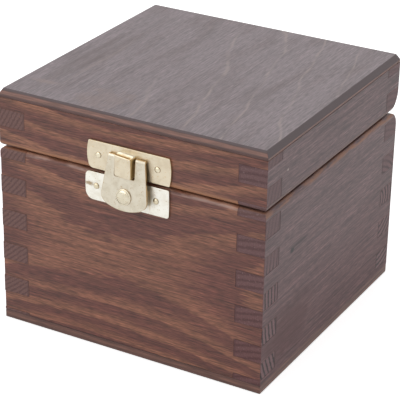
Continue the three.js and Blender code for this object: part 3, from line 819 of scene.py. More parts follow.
@dataclass(frozen=True)
class Plywood:
    """Three-ply birch panel, stained like the boards: face veneers along Y, core along X.

    Bands and pulses are the steps of masks, and shares and sways say how strongly something
    shows. The core runs between two shares of the panel's thickness.
    """

    name: str
    low: float
    high: float
    log: LogCut
    # Partly painted sheen: the veneer's ground colour is made greyer and mauve
    veneer: Colour = (0.182, 0.144, 0.154)
    veneer_dark: Colour = (0.085, 0.053, 0.052)
    chamfer: Colour = (0.074, 0.048, 0.051)
    pale_line: Colour = (0.290, 0.230, 0.215)
    edge_long: Colour = (0.185, 0.086, 0.064)
    edge_end: Colour = (0.085, 0.038, 0.033)
    lines_from: float = -0.5
    marks: Sequence[Mark] = ()
    # Which way the flat faces, the edges at the front and back, and the chamfers turn
    flat_band: Band = (0.8, 0.95)
    front_band: Band = (0.35, 0.6)
    slant_band: Band = (0.25, 0.45)
    # Gloss and relief
    roughness: float = 0.42
    thread_matte: float = 0.12
    relief: Relief = Relief(0.35, 0.00005)
    # The veneer's smudges, and its sways by streaks, threads and fibres
    smudges: Pattern = Pattern((30.0, 130.0, 130.0), 4.0, 0.65)
    smudge_band: Band = (0.42, 0.8)
    smudge_share: float = 0.65
    sways: Mapping[str, float] = field(
        default_factory=lambda: {"Streaks": 0.4, "Threads": 1.4, "Fibres": 1.3}
    )
    # The pale lines and where they break
    line: Pulse = (0.9, 0.95, 0.96, 1.0)
    line_fade: float = 0.012
    line_share: float = 0.62
    breaks: Pattern = Pattern((110.0, 160.0, 160.0), 3.0)
    break_band: Band = (0.4, 0.6)
    break_sway: float = 0.7
    # The plies in the edge
    core: Band = (0.36, 0.74)
    glue: float = 0.05
    skin_fade: float = 0.12
    drawn: Pattern = Pattern((150.0, 150.0, 2500.0), 3.0)
    drawn_sway: float = 1.8

    def material(self, effects: Effects) -> bpy.types.Material:
        """Builds the material.

        Args:
            effects: the shared shader groups.

        Returns:
            The finished material.
        """
        surface = Surface(self.name)
        graph = surface.graph
        x, y, z = graph.parts(surface.place)
        place = graph.whole(y, x, z)
        fibres = effects.fibres.placed(graph, {"Place": place, "Seed": self.log.seed})
        face = self._toned(graph, place, fibres)
        face = self._lined(graph, effects, place, face)
        for mark in self.marks:
            face = mark.painted(graph, effects, surface.place, face)
        flat = surface.facing_along(Axis.Z, self.flat_band)
        colour = graph.blend(flat, self._edge(surface, place), face)
        roughness = graph.plus_times(fibres["Threads"], self.thread_matte, self.roughness)
        return surface.finished(colour, roughness, fibres["Height"], self.relief, OILED)

    def _toned(self, graph: Graph, place: Source, fibres: Outputs) -> Source:
        """The veneer's ground colour with its long smudges, threads and fibres.

        Args:
            graph: the material's graph.
            place: the coordinate along, across and through the veneer.
            fibres: the outputs of the fibre group.

        Returns:
            The colour.
        """
        smudges = graph.smooth(graph.noise(self.smudges, place), self.smudge_band)
        # Partly painted sheen in the greyer, mauve ground colour
        ground = graph.painted(self.veneer, self.veneer_dark, smudges, self.smudge_share)
        for name, sway in self.sways.items():
            ground = graph.swayed(ground, fibres[name], sway)
        return ground

    def _lined(self, graph: Graph, effects: Effects, place: Source, colour: Source) -> Source:
        """The thin pale lines where the veneer knife crossed the rings.

        Args:
            graph: the material's graph.
            effects: the shared shader groups.
            place: the coordinate along, across and through the veneer.
            colour: the veneer's colour.

        Returns:
            The colour with the lines.
        """
        line = graph.pulse(self.log.rings(graph, effects, place)["Part"], self.line)
        fade = (self.lines_from, self.lines_from + self.line_fade)
        lined = graph.smooth(graph.parts(place)[1], fade)
        broken = graph.smooth(graph.noise(self.breaks, place), self.break_band)
        broken = graph.plus_times(broken, self.break_sway, 1.0 - self.break_sway)
        return graph.painted(colour, self.pale_line, line, lined, broken, self.line_share)

    def _edge(self, surface: Surface, place: Source) -> Source:
        """The colour of the panel's edges, where long grain is light and end grain dark.

        Args:
            surface: the material in the making.
            place: the coordinate along, across and through the veneer.

        Returns:
            The colour.
        """
        graph = surface.graph
        above = graph.math("SUBTRACT", graph.parts(place)[2], self.low)
        level = graph.math("DIVIDE", above, self.high - self.low)
        low, high = self.core
        core = graph.pulse(level, (low, low + self.glue, high - self.glue, high))
        front = surface.facing_along(Axis.Y, self.front_band)
        beside = graph.rest(front)
        veneer_end = graph.times(front, graph.rest(core))
        ends = graph.math("ADD", veneer_end, graph.times(beside, core), clamp=True)
        colour = graph.blend(ends, self.edge_long, self.edge_end)
        colour = graph.swayed(colour, graph.noise(self.drawn, place), self.drawn_sway)
        above_core = graph.smooth(level, (high, high + self.skin_fade))
        skin = graph.math("MAXIMUM", above_core, beside)
        slanted = surface.facing_along(Axis.Z, self.slant_band)
        return graph.painted(colour, self.chamfer, slanted, skin)


@dataclass(frozen=True)
class PlatedMetal:
    """Satin plating on pressed sheet, dull and scratched, with golden brown on its cut sides and arrises,
    painted also as shade and reflection on every face turned away from its face, and with tarnish and
    painted shade in its crevices.

    Bands are the steps of masks, and shares say how strongly something shows.
    """

    name: str
    bright: Colour
    dull: Colour
    raw: Colour = (0.420, 0.255, 0.090)
    crevice: Colour = (0.260, 0.150, 0.055)
    faces: Axis = Axis.Y
    roughness: float = 0.34
    dullness: float = 0.5
    marks: Sequence[Mark] = ()
    # Rubbed patches, dents and relief
    rubbed_scale: float = 320.0
    rubbed_matte: float = 0.14
    dents: Pattern = Pattern(420.0)
    relief: Relief = Relief(0.25, 0.00012)
    # Scratches: which ways they run, and how they look
    scratch_turns: Sequence[float] = (0.5, -0.9)
    scratch_scale: Triple = (180.0, 900.0, 5200.0)
    scratches: Pattern = Pattern(1.0, 1.0)
    scratch_band: Band = (0.68, 0.74)
    scratch_share: float = 0.3
    scratch_matte: float = 0.1
    scratch_depth: float = 0.3
    # Brown specks, cut sides and arrises, with painted shade on every face turned away, and crevices
    # darkened by tarnish and painted shade
    specks: Pattern = Pattern(1900.0, 0.0)
    speck_band: Band = (0.73, 0.80)
    speck_share: float = 0.5
    face_band: Band = (0.3, 0.75)
    side_share: float = 0.85
    arris_share: float = 0.7
    arris_breakup: float = 0.5
    crevice_reach: float = 0.0004
    crevice_samples: int = 8
    crevice_band: Band = (0.15, 0.7)
    crevice_share: float = 0.85

    def material(self, effects: Effects) -> bpy.types.Material:
        """Builds the material.

        Args:
            effects: the shared shader groups.

        Returns:
            The finished material.
        """
        surface = Surface(self.name)
        graph, place = surface.graph, surface.place
        handled = {"Place": place, "Scale": self.rubbed_scale}
        rubbed = effects.handling.placed(graph, handled)["Rubbed"]
        scratches = self._scratched(graph, place)
        specks = graph.smooth(graph.noise(self.specks, place), self.speck_band)
        colour = graph.painted(self.bright, self.dull, rubbed, self.dullness)
        colour = graph.painted(colour, self.dull, scratches, self.scratch_share)
        colour = graph.painted(colour, self.raw, specks, self.speck_share)
        for mark in self.marks:
            colour = mark.painted(graph, effects, place, colour)
        # Raw gold on the cut sides, and painted shade and reflection on every face that turns away from the
        # plate's face, pressed walls too
        side = graph.rest(surface.facing_along(self.faces, self.face_band))
        edge = effects.edges.placed(graph, {"Breakup": self.arris_breakup})["Edge"]
        # Tarnish and painted shade: crevices darken by ambient occlusion, which also paints the dark contact
        # ring at the rivet's rim
        hollow = graph.node(
            "ShaderNodeAmbientOcclusion",
            {"Distance": self.crevice_reach},
            samples=self.crevice_samples,
        )
        shaded = graph.rest(graph.smooth(hollow.outputs["AO"], self.crevice_band))
        colour = graph.painted(colour, self.raw, side, self.side_share)
        colour = graph.painted(colour, self.raw, edge, self.arris_share)
        colour = graph.painted(colour, self.crevice, shaded, self.crevice_share)

        satin = graph.plus_times(rubbed, self.rubbed_matte, self.roughness)
        roughness = graph.plus_times(scratches, self.scratch_matte, satin)
        dents = graph.noise(self.dents, place)
        height = graph.plus_times(scratches, -self.scratch_depth, dents)
        return surface.finished(colour, roughness, height, self.relief, METALLIC)

    def _scratched(self, graph: Graph, place: Source) -> Source:
        """Fine scratches in two directions.

        Args:
            graph: the material's graph.
            place: the coordinate of the surface.

        Returns:
            A mask of the scratches.
        """
        masks = []
        for turn in self.scratch_turns:
            inputs = {"Vector": place, "Rotation": (0.0, turn, 0.0), "Scale": self.scratch_scale}
            drawn = graph.noise(self.scratches, graph.made("ShaderNodeMapping", inputs))
            masks.append(graph.smooth(drawn, self.scratch_band))
        return graph.math("MAXIMUM", *masks)


class Walls:
    """The outside of the box, as the frame gives it."""

    @property
    def split(self) -> float:
        """The height of the split between base and lid."""
        return (self.levels("base_front_board")[1] + self.levels("lid_front_board")[0]) / 2

    @staticmethod
    def levels(node: str) -> Band:
        """The lowest and highest level of a node."""
        low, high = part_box(node)
        return low.z, high.z

    @staticmethod
    def face(side: Side) -> float:
        """Where a wall's outer face lies on its through axis."""
        low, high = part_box(f"base_{side.value}_board")
        return (low if side.outward < 0 else high)[side.through.value]

    def span(self, side: Side) -> Band:
        """Where the box ends at a wall's low and high end."""
        low, high = side.ends
        return self.face(low), self.face(high)

    @staticmethod
    def thickness(side: Side) -> float:
        """How thick a wall is."""
        low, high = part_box(f"base_{side.value}_board")
        return (high - low)[side.through.value]


class BoxFinishes:
    """Every finish of the box as a ready material."""

    # Front and back boards end in light stripes, which are clear on the lowest fingers
    STRIPED = {
        "end_early": (0.018, 0.008, 0.009),
        "end_late": (0.195, 0.110, 0.114),
        "end_clear_below": 0.038,
    }

    def __init__(self, effects: Effects, walls: Walls) -> None:
        """Builds the materials.

        Args:
            effects: the shared shader groups.
            walls: the outside of the box, for where its faces lie.
        """
        top = walls.levels("lid_front_board")[1]
        self.walls = {
            wood.side: wood.material(effects, walls.face(wood.side), walls.split, top)
            for wood in self._woods()
        }
        self.panels = {
            name: panel.material(effects) for name, panel in self._panels(walls).items()
        }
        self.metals = {name: metal.material(effects) for name, metal in self._metals().items()}

    def _woods(self) -> Iterable[StainedWood]:
        """The solid wood of the four walls.

        Yields:
            The finish of each wall.
        """
        yield StainedWood(
            "stained_front_board",
            Side.FRONT,
            LogCut(
                0.0342, -0.062, 0.8, -0.009, -0.02, 0.25, ring_start=0.65, waver=0.0017,
                seed=(2.0, 3.0, 8.0),
            ),
            # Pale rub wear and painted highlight along the base's top round
            worn_base=(0.520, 0.350, 0.290),
            worn_base_share=0.6,
            **self.STRIPED,
        )
        yield StainedWood(
            "stained_back_board",
            Side.BACK,
            LogCut(0.031, -0.012, -0.25, 0.02, 0.04, seed=(3.0, 7.0, 1.0)),
            **self.STRIPED,
        )
        yield StainedWood(
            "stained_left_board",
            Side.LEFT,
            LogCut(0.125, 0.085, 0.1, ring_pitch=0.0014, seed=(9.0, 2.0, 5.0)),
            end_early=(0.100, 0.045, 0.040),
            end_late=(0.160, 0.080, 0.070),
            figure=0.45,
        )
        yield StainedWood(
            "stained_right_board",
            Side.RIGHT,
            LogCut(-0.060, 0.010, 0.1, ring_pitch=0.0023, seed=(4.0, 8.0, 6.0)),
            early=(0.068, 0.035, 0.037),
            late=(0.240, 0.152, 0.158),
            end_early=(0.088, 0.037, 0.038),
            end_late=(0.138, 0.068, 0.070),
            worn_base=(0.300, 0.135, 0.075),
            worn_lid=(0.150, 0.078, 0.062),
            worn_base_share=0.85,
            worn_base_reach=0.0026,
            figure=0.12,
            thread_sway=2.6,
            fibre_sway=1.8,
            # Painted shade, strongest on this wall: darker and redder towards the foot
            foot_tint=(1.0, 0.88, 0.86),
            foot_matte=0.15,
            marks=(
                # A shaded patch, its knot with a tail, and a pale chip on the lid
                Mark((-0.031, 0.016, 0.0), (0.024, 0.012, 0.004), (0.082, 0.030, 0.030), 0.6, 1.4),
                Mark(
                    (-0.0305, 0.044, 0.0), (0.0020, 0.0014, 0.004), (0.003, 0.002, 0.002), 1.0, 0.8
                ),
                Mark(
                    (-0.024, 0.0447, 0.0), (0.008, 0.0008, 0.004), (0.020, 0.009, 0.009), 0.8, 0.8
                ),
                Mark((-0.036, 0.0746, 0.0), (0.0007, 0.0005, 0.004), (0.55, 0.47, 0.42), 0.8),
            ),
        )

    @staticmethod
    def _panels(walls: Walls) -> dict[str, Plywood]:
        """The plywood of the two panels.

        Args:
            walls: the outside of the box.

        Returns:
            The finishes by the names of the panels' nodes.
        """
        log = LogCut(-0.110, 0.010, 0.6, -0.02, -0.27, 0.0, 0.0125, 0.0, 0.013, (1.0, 5.0, 2.0))
        # Marks on the top: place, reach across and along, colour, strength and fray
        marks = (
            (-0.0395, -0.012, 0.0055, 0.032, (0.085, 0.054, 0.050), 0.3, 3.2),
            (-0.0415, -0.002, 0.0018, 0.024, (0.070, 0.042, 0.040), 0.45, 1.6),
            (-0.0370, -0.014, 0.0016, 0.014, (0.070, 0.042, 0.040), 0.45, 1.6),
            (-0.0275, 0.006, 0.0014, 0.010, (0.080, 0.050, 0.048), 0.4, 1.6),
            (-0.0345, -0.012, 0.0012, 0.030, (0.250, 0.190, 0.180), 0.35, 2.0),
            (-0.0400, -0.037, 0.0070, 0.0018, (0.270, 0.195, 0.175), 0.45, 1.6),
            (-0.015, -0.040, 0.012, 0.010, (0.240, 0.155, 0.125), 0.24, 3.4),
        )
        level, through = 0.085, 0.05
        top_marks = [Mark((x, y, level), (dx, dy, through), *how) for x, y, dx, dy, *how in marks]
        bottom_log = LogCut(
            -0.130, 0.012, 0.4, slope=0.1, ring_pitch=0.011, waver=0.006, seed=(6.0, 1.0, 3.0)
        )
        return {
            "top_panel": Plywood(
                "stained_top_panel",
                *walls.levels("top_panel"),
                log,
                lines_from=-0.014,
                marks=top_marks,
            ),
            "bottom_panel": Plywood(
                "stained_bottom_panel",
                *walls.levels("bottom_panel"),
                bottom_log,
                edge_end=(0.120, 0.054, 0.042),
            ),
        }

    @staticmethod
    def _metals() -> dict[str, PlatedMetal]:
        """The plating of the lock, nails and hinges, and the steel.

        Returns:
            The finishes by their short names.
        """
        # Marks on the lock's plates, a dark brown mark and painted shade strips beside the lever's right
        # edge: place across and up, reach, colour, strength and fray
        keeper_shade_strip = Mark(
            (0.0077, -0.0505, 0.0690), (0.0007, 0.01, 0.0046), (0.450, 0.290, 0.120), 0.6, 0.3
        )
        plate_mark_and_shade_strip = (
            Mark((-0.0143, -0.0505, 0.0602), (0.0021, 0.01, 0.0010), (0.300, 0.190, 0.080), 0.8),
            # Painted shade: a golden-brown strip beside the lever's right edge
            Mark(
                (0.0085, -0.0505, 0.0596), (0.0006, 0.01, 0.0050), (0.450, 0.300, 0.130), 0.5, 0.2
            ),
        )
        return {
            "keeper": PlatedMetal(
                "keeper_plating",
                (0.720, 0.640, 0.492),
                (0.590, 0.500, 0.360),
                raw=(0.620, 0.420, 0.170),
                marks=(keeper_shade_strip,),
            ),
            "base_plate": PlatedMetal(
                "base_plate_plating",
                (0.880, 0.862, 0.785),
                (0.660, 0.600, 0.480),
                dullness=0.4,
                marks=plate_mark_and_shade_strip,
            ),
            "lever": PlatedMetal(
                "lever_plating",
                (0.670, 0.618, 0.508),
                (0.535, 0.475, 0.362),
                dullness=0.55,
                roughness=0.38,
            ),
            "nail": PlatedMetal(
                "nail_plating", (0.780, 0.710, 0.540), (0.540, 0.450, 0.290), roughness=0.24
            ),
            "rivet": PlatedMetal(
                "rivet_plating", (0.720, 0.660, 0.520), (0.560, 0.490, 0.350), roughness=0.17
            ),
            "hinge": PlatedMetal(
                "hinge_plating", (0.640, 0.520, 0.280), (0.450, 0.340, 0.170), faces=Axis.Z
            ),
            "steel": PlatedMetal(
                "spring_steel",
                (0.540, 0.550, 0.560),
                (0.400, 0.400, 0.410),
                raw=(0.420, 0.420, 0.430),
                crevice=(0.080, 0.080, 0.082),
                roughness=0.25,
            ),
        }


@dataclass(frozen=True)
class Rounded:
    """One corner of an outline and the radius that it is rounded with."""

    across: float
    up: float
    radius: float = 0.0

    @property
    def point(self) -> Vector:
        """The corner as a two-dimensional vector."""
        return Vector((self.across, self.up))


def rounded_outline(corners: Sequence[Rounded], facets: int) -> list[Vector]:
    """The points of a convex outline whose corners are rounded.

    Args:
        corners: its corners in order.
        facets: how many facets a rounded corner has.

    Returns:
        The outline's points as two-dimensional vectors.
    """
    points = []
    for i, corner in enumerate(corners):
        here = corner.point
        if corner.radius == 0:
            points.append(here)
            continue
        back = (corners[i - 1].point - here).normalized()
        on = (corners[(i + 1) % len(corners)].point - here).normalized()
        half = math.acos(max(-1.0, min(1.0, back.dot(on)))) / 2
        centre = here + (back + on).normalized() * (corner.radius / math.sin(half))
        first = here + back * (corner.radius / math.tan(half)) - centre
        last = here + on * (corner.radius / math.tan(half)) - centre
        turn = math.atan2(first.x * last.y - first.y * last.x, first.dot(last))
        for step in range(facets + 1):
            points.append(centre + Matrix.Rotation(turn * step / facets, 2) @ first)
    return points


def prism(
    name: str, outline: Sequence[Vector], axis: Axis, low: float, high: float
) -> bpy.types.Object:
    """A closed prism of an outline in Z and the other level axis, as an unlinked helper object.

    Args:
        name: the object's name.
        outline: its points, across and up.
        axis: X or Y, which it is drawn out along.
        low: where it starts.
        high: where it ends.

    Returns:
        The helper object, in no collection.
    """

    def corner(point: Vector, reach: float) -> Triple:
        """A corner of the prism."""
        across = (reach, point.x) if axis is Axis.X else (point.x, reach)
        return (*across, point.y)

    mesh = bpy.data.meshes.new(name)
    shape = bmesh.new()
    rings = [[shape.verts.new(corner(point, reach)) for point in outline] for reach in (low, high)]
    for ring in rings:
        shape.faces.new(ring)
    for i in range(len(outline)):
        j = (i + 1) % len(outline)
        shape.faces.new((rings[0][i], rings[0][j], rings[1][j], rings[1][i]))
    bmesh.ops.recalc_face_normals(shape, faces=shape.faces)
    shape.to_mesh(mesh)
    shape.free()
    return bpy.data.objects.new(name, mesh)


def add_box(shape: bmesh.types.BMesh, low: Vector, high: Vector) -> None:
    """Adds a closed box between its lowest and highest corners to a mesh being made."""
    place = Matrix.Translation((high + low) / 2) @ Matrix.Diagonal((*(high - low), 1.0))
    bmesh.ops.create_cube(shape, size=1.0, matrix=place)


def add_rod(
    shape: bmesh.types.BMesh, radius: float, start: Vector, end: Vector, facets: int
) -> None:
    """Adds a closed round rod to a mesh being made.

    Args:
        shape: the mesh being made.
        radius: the rod's radius.
        start: the centre of one end.
        end: the centre of the other.
        facets: how many sides it has.
    """
    turn = UP.rotation_difference(end - start).to_matrix().to_4x4()
    bmesh.ops.create_cone(
        shape,
        cap_ends=True,
        segments=facets,
        radius1=radius,
        radius2=radius,
        depth=(end - start).length,
        matrix=Matrix.Translation((start + end) / 2) @ turn,
    )


def grown(
    name: str, group: Group, inputs: Mapping[str, object], start: bpy.types.Mesh
) -> bpy.types.Mesh:
    """Runs a Geometry Nodes tree and keeps its result as a plain mesh.

    Args:
        name: the mesh's name.
        group: the tree.
        inputs: the values of its inputs, by name.
        start: the mesh that the tree is given.

    Returns:
        The mesh that it made.
    """
    host = bpy.data.objects.new(name, start)
    bpy.context.scene.collection.objects.link(host)
    modifier = host.modifiers.new(name, "NODES")
    modifier.node_group = group.tree
    for item in group.tree.interface.items_tree:
        if item.in_out == "INPUT" and item.name in inputs:
            modifier[item.identifier] = inputs[item.name]
    evaluated = host.evaluated_get(bpy.context.evaluated_depsgraph_get())
    mesh = bpy.data.meshes.new_from_object(evaluated)
    mesh.name = name
    host.modifiers.remove(modifier)
    bpy.data.objects.remove(host)
    return mesh


@dataclass
class Easing:
    """How the sharp edges of a piece are eased."""

    width: float
    segments: int = 2
    from_angle: float = math.radians(35)
    share: Callable[[Vector, Vector], float] = lambda start, end: 1.0

    def weigh(self, mesh: bpy.types.Mesh) -> None:
        """Gives every sharp edge of a mesh its bevel weight.

        Args:
            mesh: the mesh, whose corners are joined.
        """
        shape = bmesh.new()
        shape.from_mesh(mesh)
        layer = shape.edges.layers.float.new("bevel_weight_edge")
        for edge in shape.edges:
            if len(edge.link_faces) == 2 and edge.calc_face_angle(0.0) > self.from_angle:
                edge[layer] = self.share(edge.verts[0].co, edge.verts[1].co)
        shape.to_mesh(mesh)
        shape.free()

    def apply(self, piece: bpy.types.Object) -> None:
        """Gives a piece its live Bevel modifier.

        Args:
            piece: the piece.
        """
        bevel = piece.modifiers.new("eased edges", "BEVEL")
        bevel.limit_method = "WEIGHT"
        bevel.width = self.width
        bevel.segments = self.segments
        bevel.use_clamp_overlap = True
        bevel.harden_normals = True


class Workshop:
    """Turns meshes into finished pieces that ride on their bodies."""

    # The weight that keeps large faces flat in shading beside small rounds
    FLAT_WEIGHT = 100

    def __init__(self) -> None:
        """Reads from the record which body and slot each node has."""
        bodies = frame["record"]["behaviour"]["bodies"]
        subparts = frame["record"]["subparts"]
        self.bodies = {node: body for body, nodes in bodies.items() for node in nodes}
        self.slots = {row["node"]: row["material_slot"] for row in subparts}

    @staticmethod
    def copied(node: str) -> bpy.types.Mesh:
        """A copy of a node's mesh with its loose triangles joined into flat faces.

        Args:
            node: the node's name.

        Returns:
            The copy.
        """
        mesh = frame["nodes"][node].data.copy()
        mesh.materials.clear()
        shape = bmesh.new()
        shape.from_mesh(mesh)
        bmesh.ops.remove_doubles(shape, verts=shape.verts, dist=WELD)
        bmesh.ops.dissolve_limit(
            shape, angle_limit=FLAT_UNDER, verts=shape.verts, edges=shape.edges
        )
        for face in shape.faces:
            face.material_index = 0
        shape.to_mesh(mesh)
        shape.free()
        for name in [item.name for item in mesh.attributes if item.name.startswith("UV")]:
            mesh.attributes.remove(mesh.attributes[name])
        return mesh

    @staticmethod
    def kept_within(mesh: bpy.types.Mesh, node: str) -> None:
        """Takes the last digits of a grown mesh back inside its node's box.

        Args:
            mesh: the mesh.
            node: the node's name.
        """
        low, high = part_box(node)
        for vertex in mesh.vertices:
            vertex.co = [min(max(vertex.co[i], low[i]), high[i]) for i in range(3)]

    def finished(
        self,
        name: str,
        mesh: bpy.types.Mesh,
        material: bpy.types.Material,
        nodes: Sequence[str],
        easing: Easing | None = None,
        smooth_under: float = math.radians(35),
        riding: bool = True,
        pressed: bool = False,
    ) -> bpy.types.Object:
        """Makes a piece, dresses it and lets it ride in place of its nodes.

        Args:
            name: the piece's name.
            mesh: its mesh, already in place.
            material: its finish.
            nodes: the nodes that it stands for, all on one body.
            easing: how its edges are eased, if they are.
            smooth_under: the angle under which neighbouring faces shade as one.
            riding: whether it follows one body, rather than bending between two.
            pressed: whether its large faces stay flat in shading beside their small rounds.

        Returns:
            The piece.
        """
        mesh.materials.clear()
        mesh.materials.append(material)
        mesh.shade_smooth()
        mesh.set_sharp_from_angle(angle=smooth_under)
        if easing:
            easing.weigh(mesh)
        piece = bpy.data.objects.new(name, mesh)
        bpy.context.scene.collection.objects.link(piece)
        if easing:
            easing.apply(piece)
        if pressed:
            flat = piece.modifiers.new("flat faces", "WEIGHTED_NORMAL")
            flat.keep_sharp = True
            flat.weight = self.FLAT_WEIGHT
        if riding:
            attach(piece, self.bodies[nodes[0]])
        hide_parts(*nodes)
        LOG.info("%s: %d faces, for %s", name, len(mesh.polygons), ", ".join(nodes))
        return piece

    def dressed_copy(
        self, node: str, ending: str, material: bpy.types.Material, **how: object
    ) -> bpy.types.Object:
        """Finishes a copy of one node as a piece that is named after it, with an ending."""
        return self.finished(f"{node}_{ending}", self.copied(node), material, [node], **how)


def finger_board_tree() -> Group:
    """The tree that grows a finger-jointed board.

    Bars on two ladders of heights reach out of the ends of a core, a ladder for each end, and make
    the fingers. Two rounded forms trim the comb, and the cutters open its holes and mortises.

    Returns:
        The group with named inputs.
    """
    places = ("First Low Finger", "First High Finger", "Bar Size", "Core Size", "Core Place")
    inputs = {
        "Mesh": GEOMETRY,
        "Fingers": INTEGER,
        "Finger Step": FLOAT,
        **dict.fromkeys(places, VECTOR),
        **dict.fromkeys(("Side Form", "Face Form", "Cutters"), OBJECT),
        "Finish": MATERIAL,
    }
    group = Group("Finger board", GEOMETRY_TREE, inputs, {"Mesh": GEOMETRY})
    graph, given = group.graph, group.given
    step = graph.whole(0.0, 0.0, given["Finger Step"])
    bar = graph.made("GeometryNodeMeshCube", {"Size": given["Bar Size"]})
    cube = graph.made("GeometryNodeMeshCube", {"Size": given["Core Size"]})
    moved = {"Geometry": cube, "Translation": given["Core Place"]}
    comb, trimmed, opened = (
        graph.node("GeometryNodeMeshBoolean", operation=operation, solver="MANIFOLD")
        for operation in ("UNION", "INTERSECT", "DIFFERENCE")
    )
    graph.feed(comb.inputs[1], graph.made("GeometryNodeTransform", moved))
    for start in ("First Low Finger", "First High Finger"):
        rungs = {"Count": given["Fingers"], "Start Location": given[start], "Offset": step}
        ladder = graph.made("GeometryNodeMeshLine", rungs)
        bars = graph.made("GeometryNodeInstanceOnPoints", {"Points": ladder, "Instance": bar})
        graph.feed(comb.inputs[1], graph.made("GeometryNodeRealizeInstances", {"Geometry": bars}))
    side, face, cutters = (
        graph.node("GeometryNodeObjectInfo", {"Object": given[name]}).outputs["Geometry"]
        for name in ("Side Form", "Face Form", "Cutters")
    )
    for form in (comb.outputs[0], side, face):
        graph.feed(trimmed.inputs[1], form)
    graph.feed(opened.inputs[0], trimmed.outputs[0])
    graph.feed(opened.inputs[1], cutters)
    group.give_dressed(opened.outputs[0])
    return group


@dataclass(frozen=True)
class FingerJoint:
    """The finger joints, laid out on the glued frame before the lid was sawn off.

    The left board was glued in a little lower, so the fingers at its two corners sit lower too.
    """

    first: float = 0.00205
    pitch: float = 0.00632
    left_drop: float = 0.0011
    gap: float = 0.00008
    kerf: float = 0.00175
    bite: float = 0.004

    def first_centre(self, side: Side, end: Side) -> float:
        """The height, in the uncut frame, of the centre of a wall's lowest finger at one end.

        Args:
            side: the wall.
            end: the wall that it meets there.

        Returns:
            The height.
        """
        owner = 1 if side.along is Axis.X else -1
        drop = self.left_drop if Side.LEFT in (side, end) else 0.0
        return self.first - drop + owner * self.pitch / 2


@dataclass
class Openings:
    """What the boards lose to nails and hinges."""

    walls: Walls
    shank_radius: float = 0.0006
    leaf_room: float = 0.00005
    leaf_inner: float = 0.00015
    leaf_thickness: float = 0.00065
    facets: int = 12

    def cutters(self, part: str, side: Side) -> bpy.types.Object:
        """The cutters of one board as a helper object.

        Args:
            part: base or lid.
            side: the board's wall.

        Returns:
            The helper object, in no collection.
        """
        shape = bmesh.new()
        for hand in HANDS:
            if side is Side.FRONT:
                plate = "base_plate" if part == "base" else "keeper"
                self._nail_hole(shape, f"{plate}_nail_{hand}", Axis.Y)
            if side is Side.BACK:
                self._mortise(shape, f"hinge_{hand}_{part}_leaf", part)
                for number in (1, 2):
                    self._nail_hole(shape, f"hinge_{hand}_{part}_nail_{number}", Axis.Z)
        mesh = bpy.data.meshes.new(f"{part} {side.value} cutters")
        shape.to_mesh(mesh)
        shape.free()
        return bpy.data.objects.new(mesh.name, mesh)

    def _nail_hole(self, shape: bmesh.types.BMesh, node: str, axis: Axis) -> None:
        """Adds the hole of one nail.

        Args:
            shape: the cutters being made.
            node: the nail's node.
            axis: the axis that it was driven along.
        """
        low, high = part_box(node)
        start, end = (low + high) / 2, (low + high) / 2
        start[axis.value], end[axis.value] = low[axis.value], high[axis.value]
        add_rod(shape, self.shank_radius, start, end, self.facets)

    def _mortise(self, shape: bmesh.types.BMesh, node: str, part: str) -> None:
        """Adds the shallow mortise of one hinge leaf, from its floor to past the split.

        Args:
            shape: the cutters being made.
            node: the leaf's node.
            part: base or lid.
        """
        low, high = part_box(node)
        behind = self.walls.face(Side.BACK) + OVERRUN
        split, away = self.walls.split, -1 if part == "base" else 1
        floor = split + away * (self.leaf_inner + self.leaf_thickness + self.leaf_room)
        bottom, top = sorted((floor, split - away * OVERRUN))
        near = Vector((low.x - self.leaf_room, low.y - self.leaf_room, bottom))
        add_box(shape, near, Vector((high.x + self.leaf_room, behind, top)))


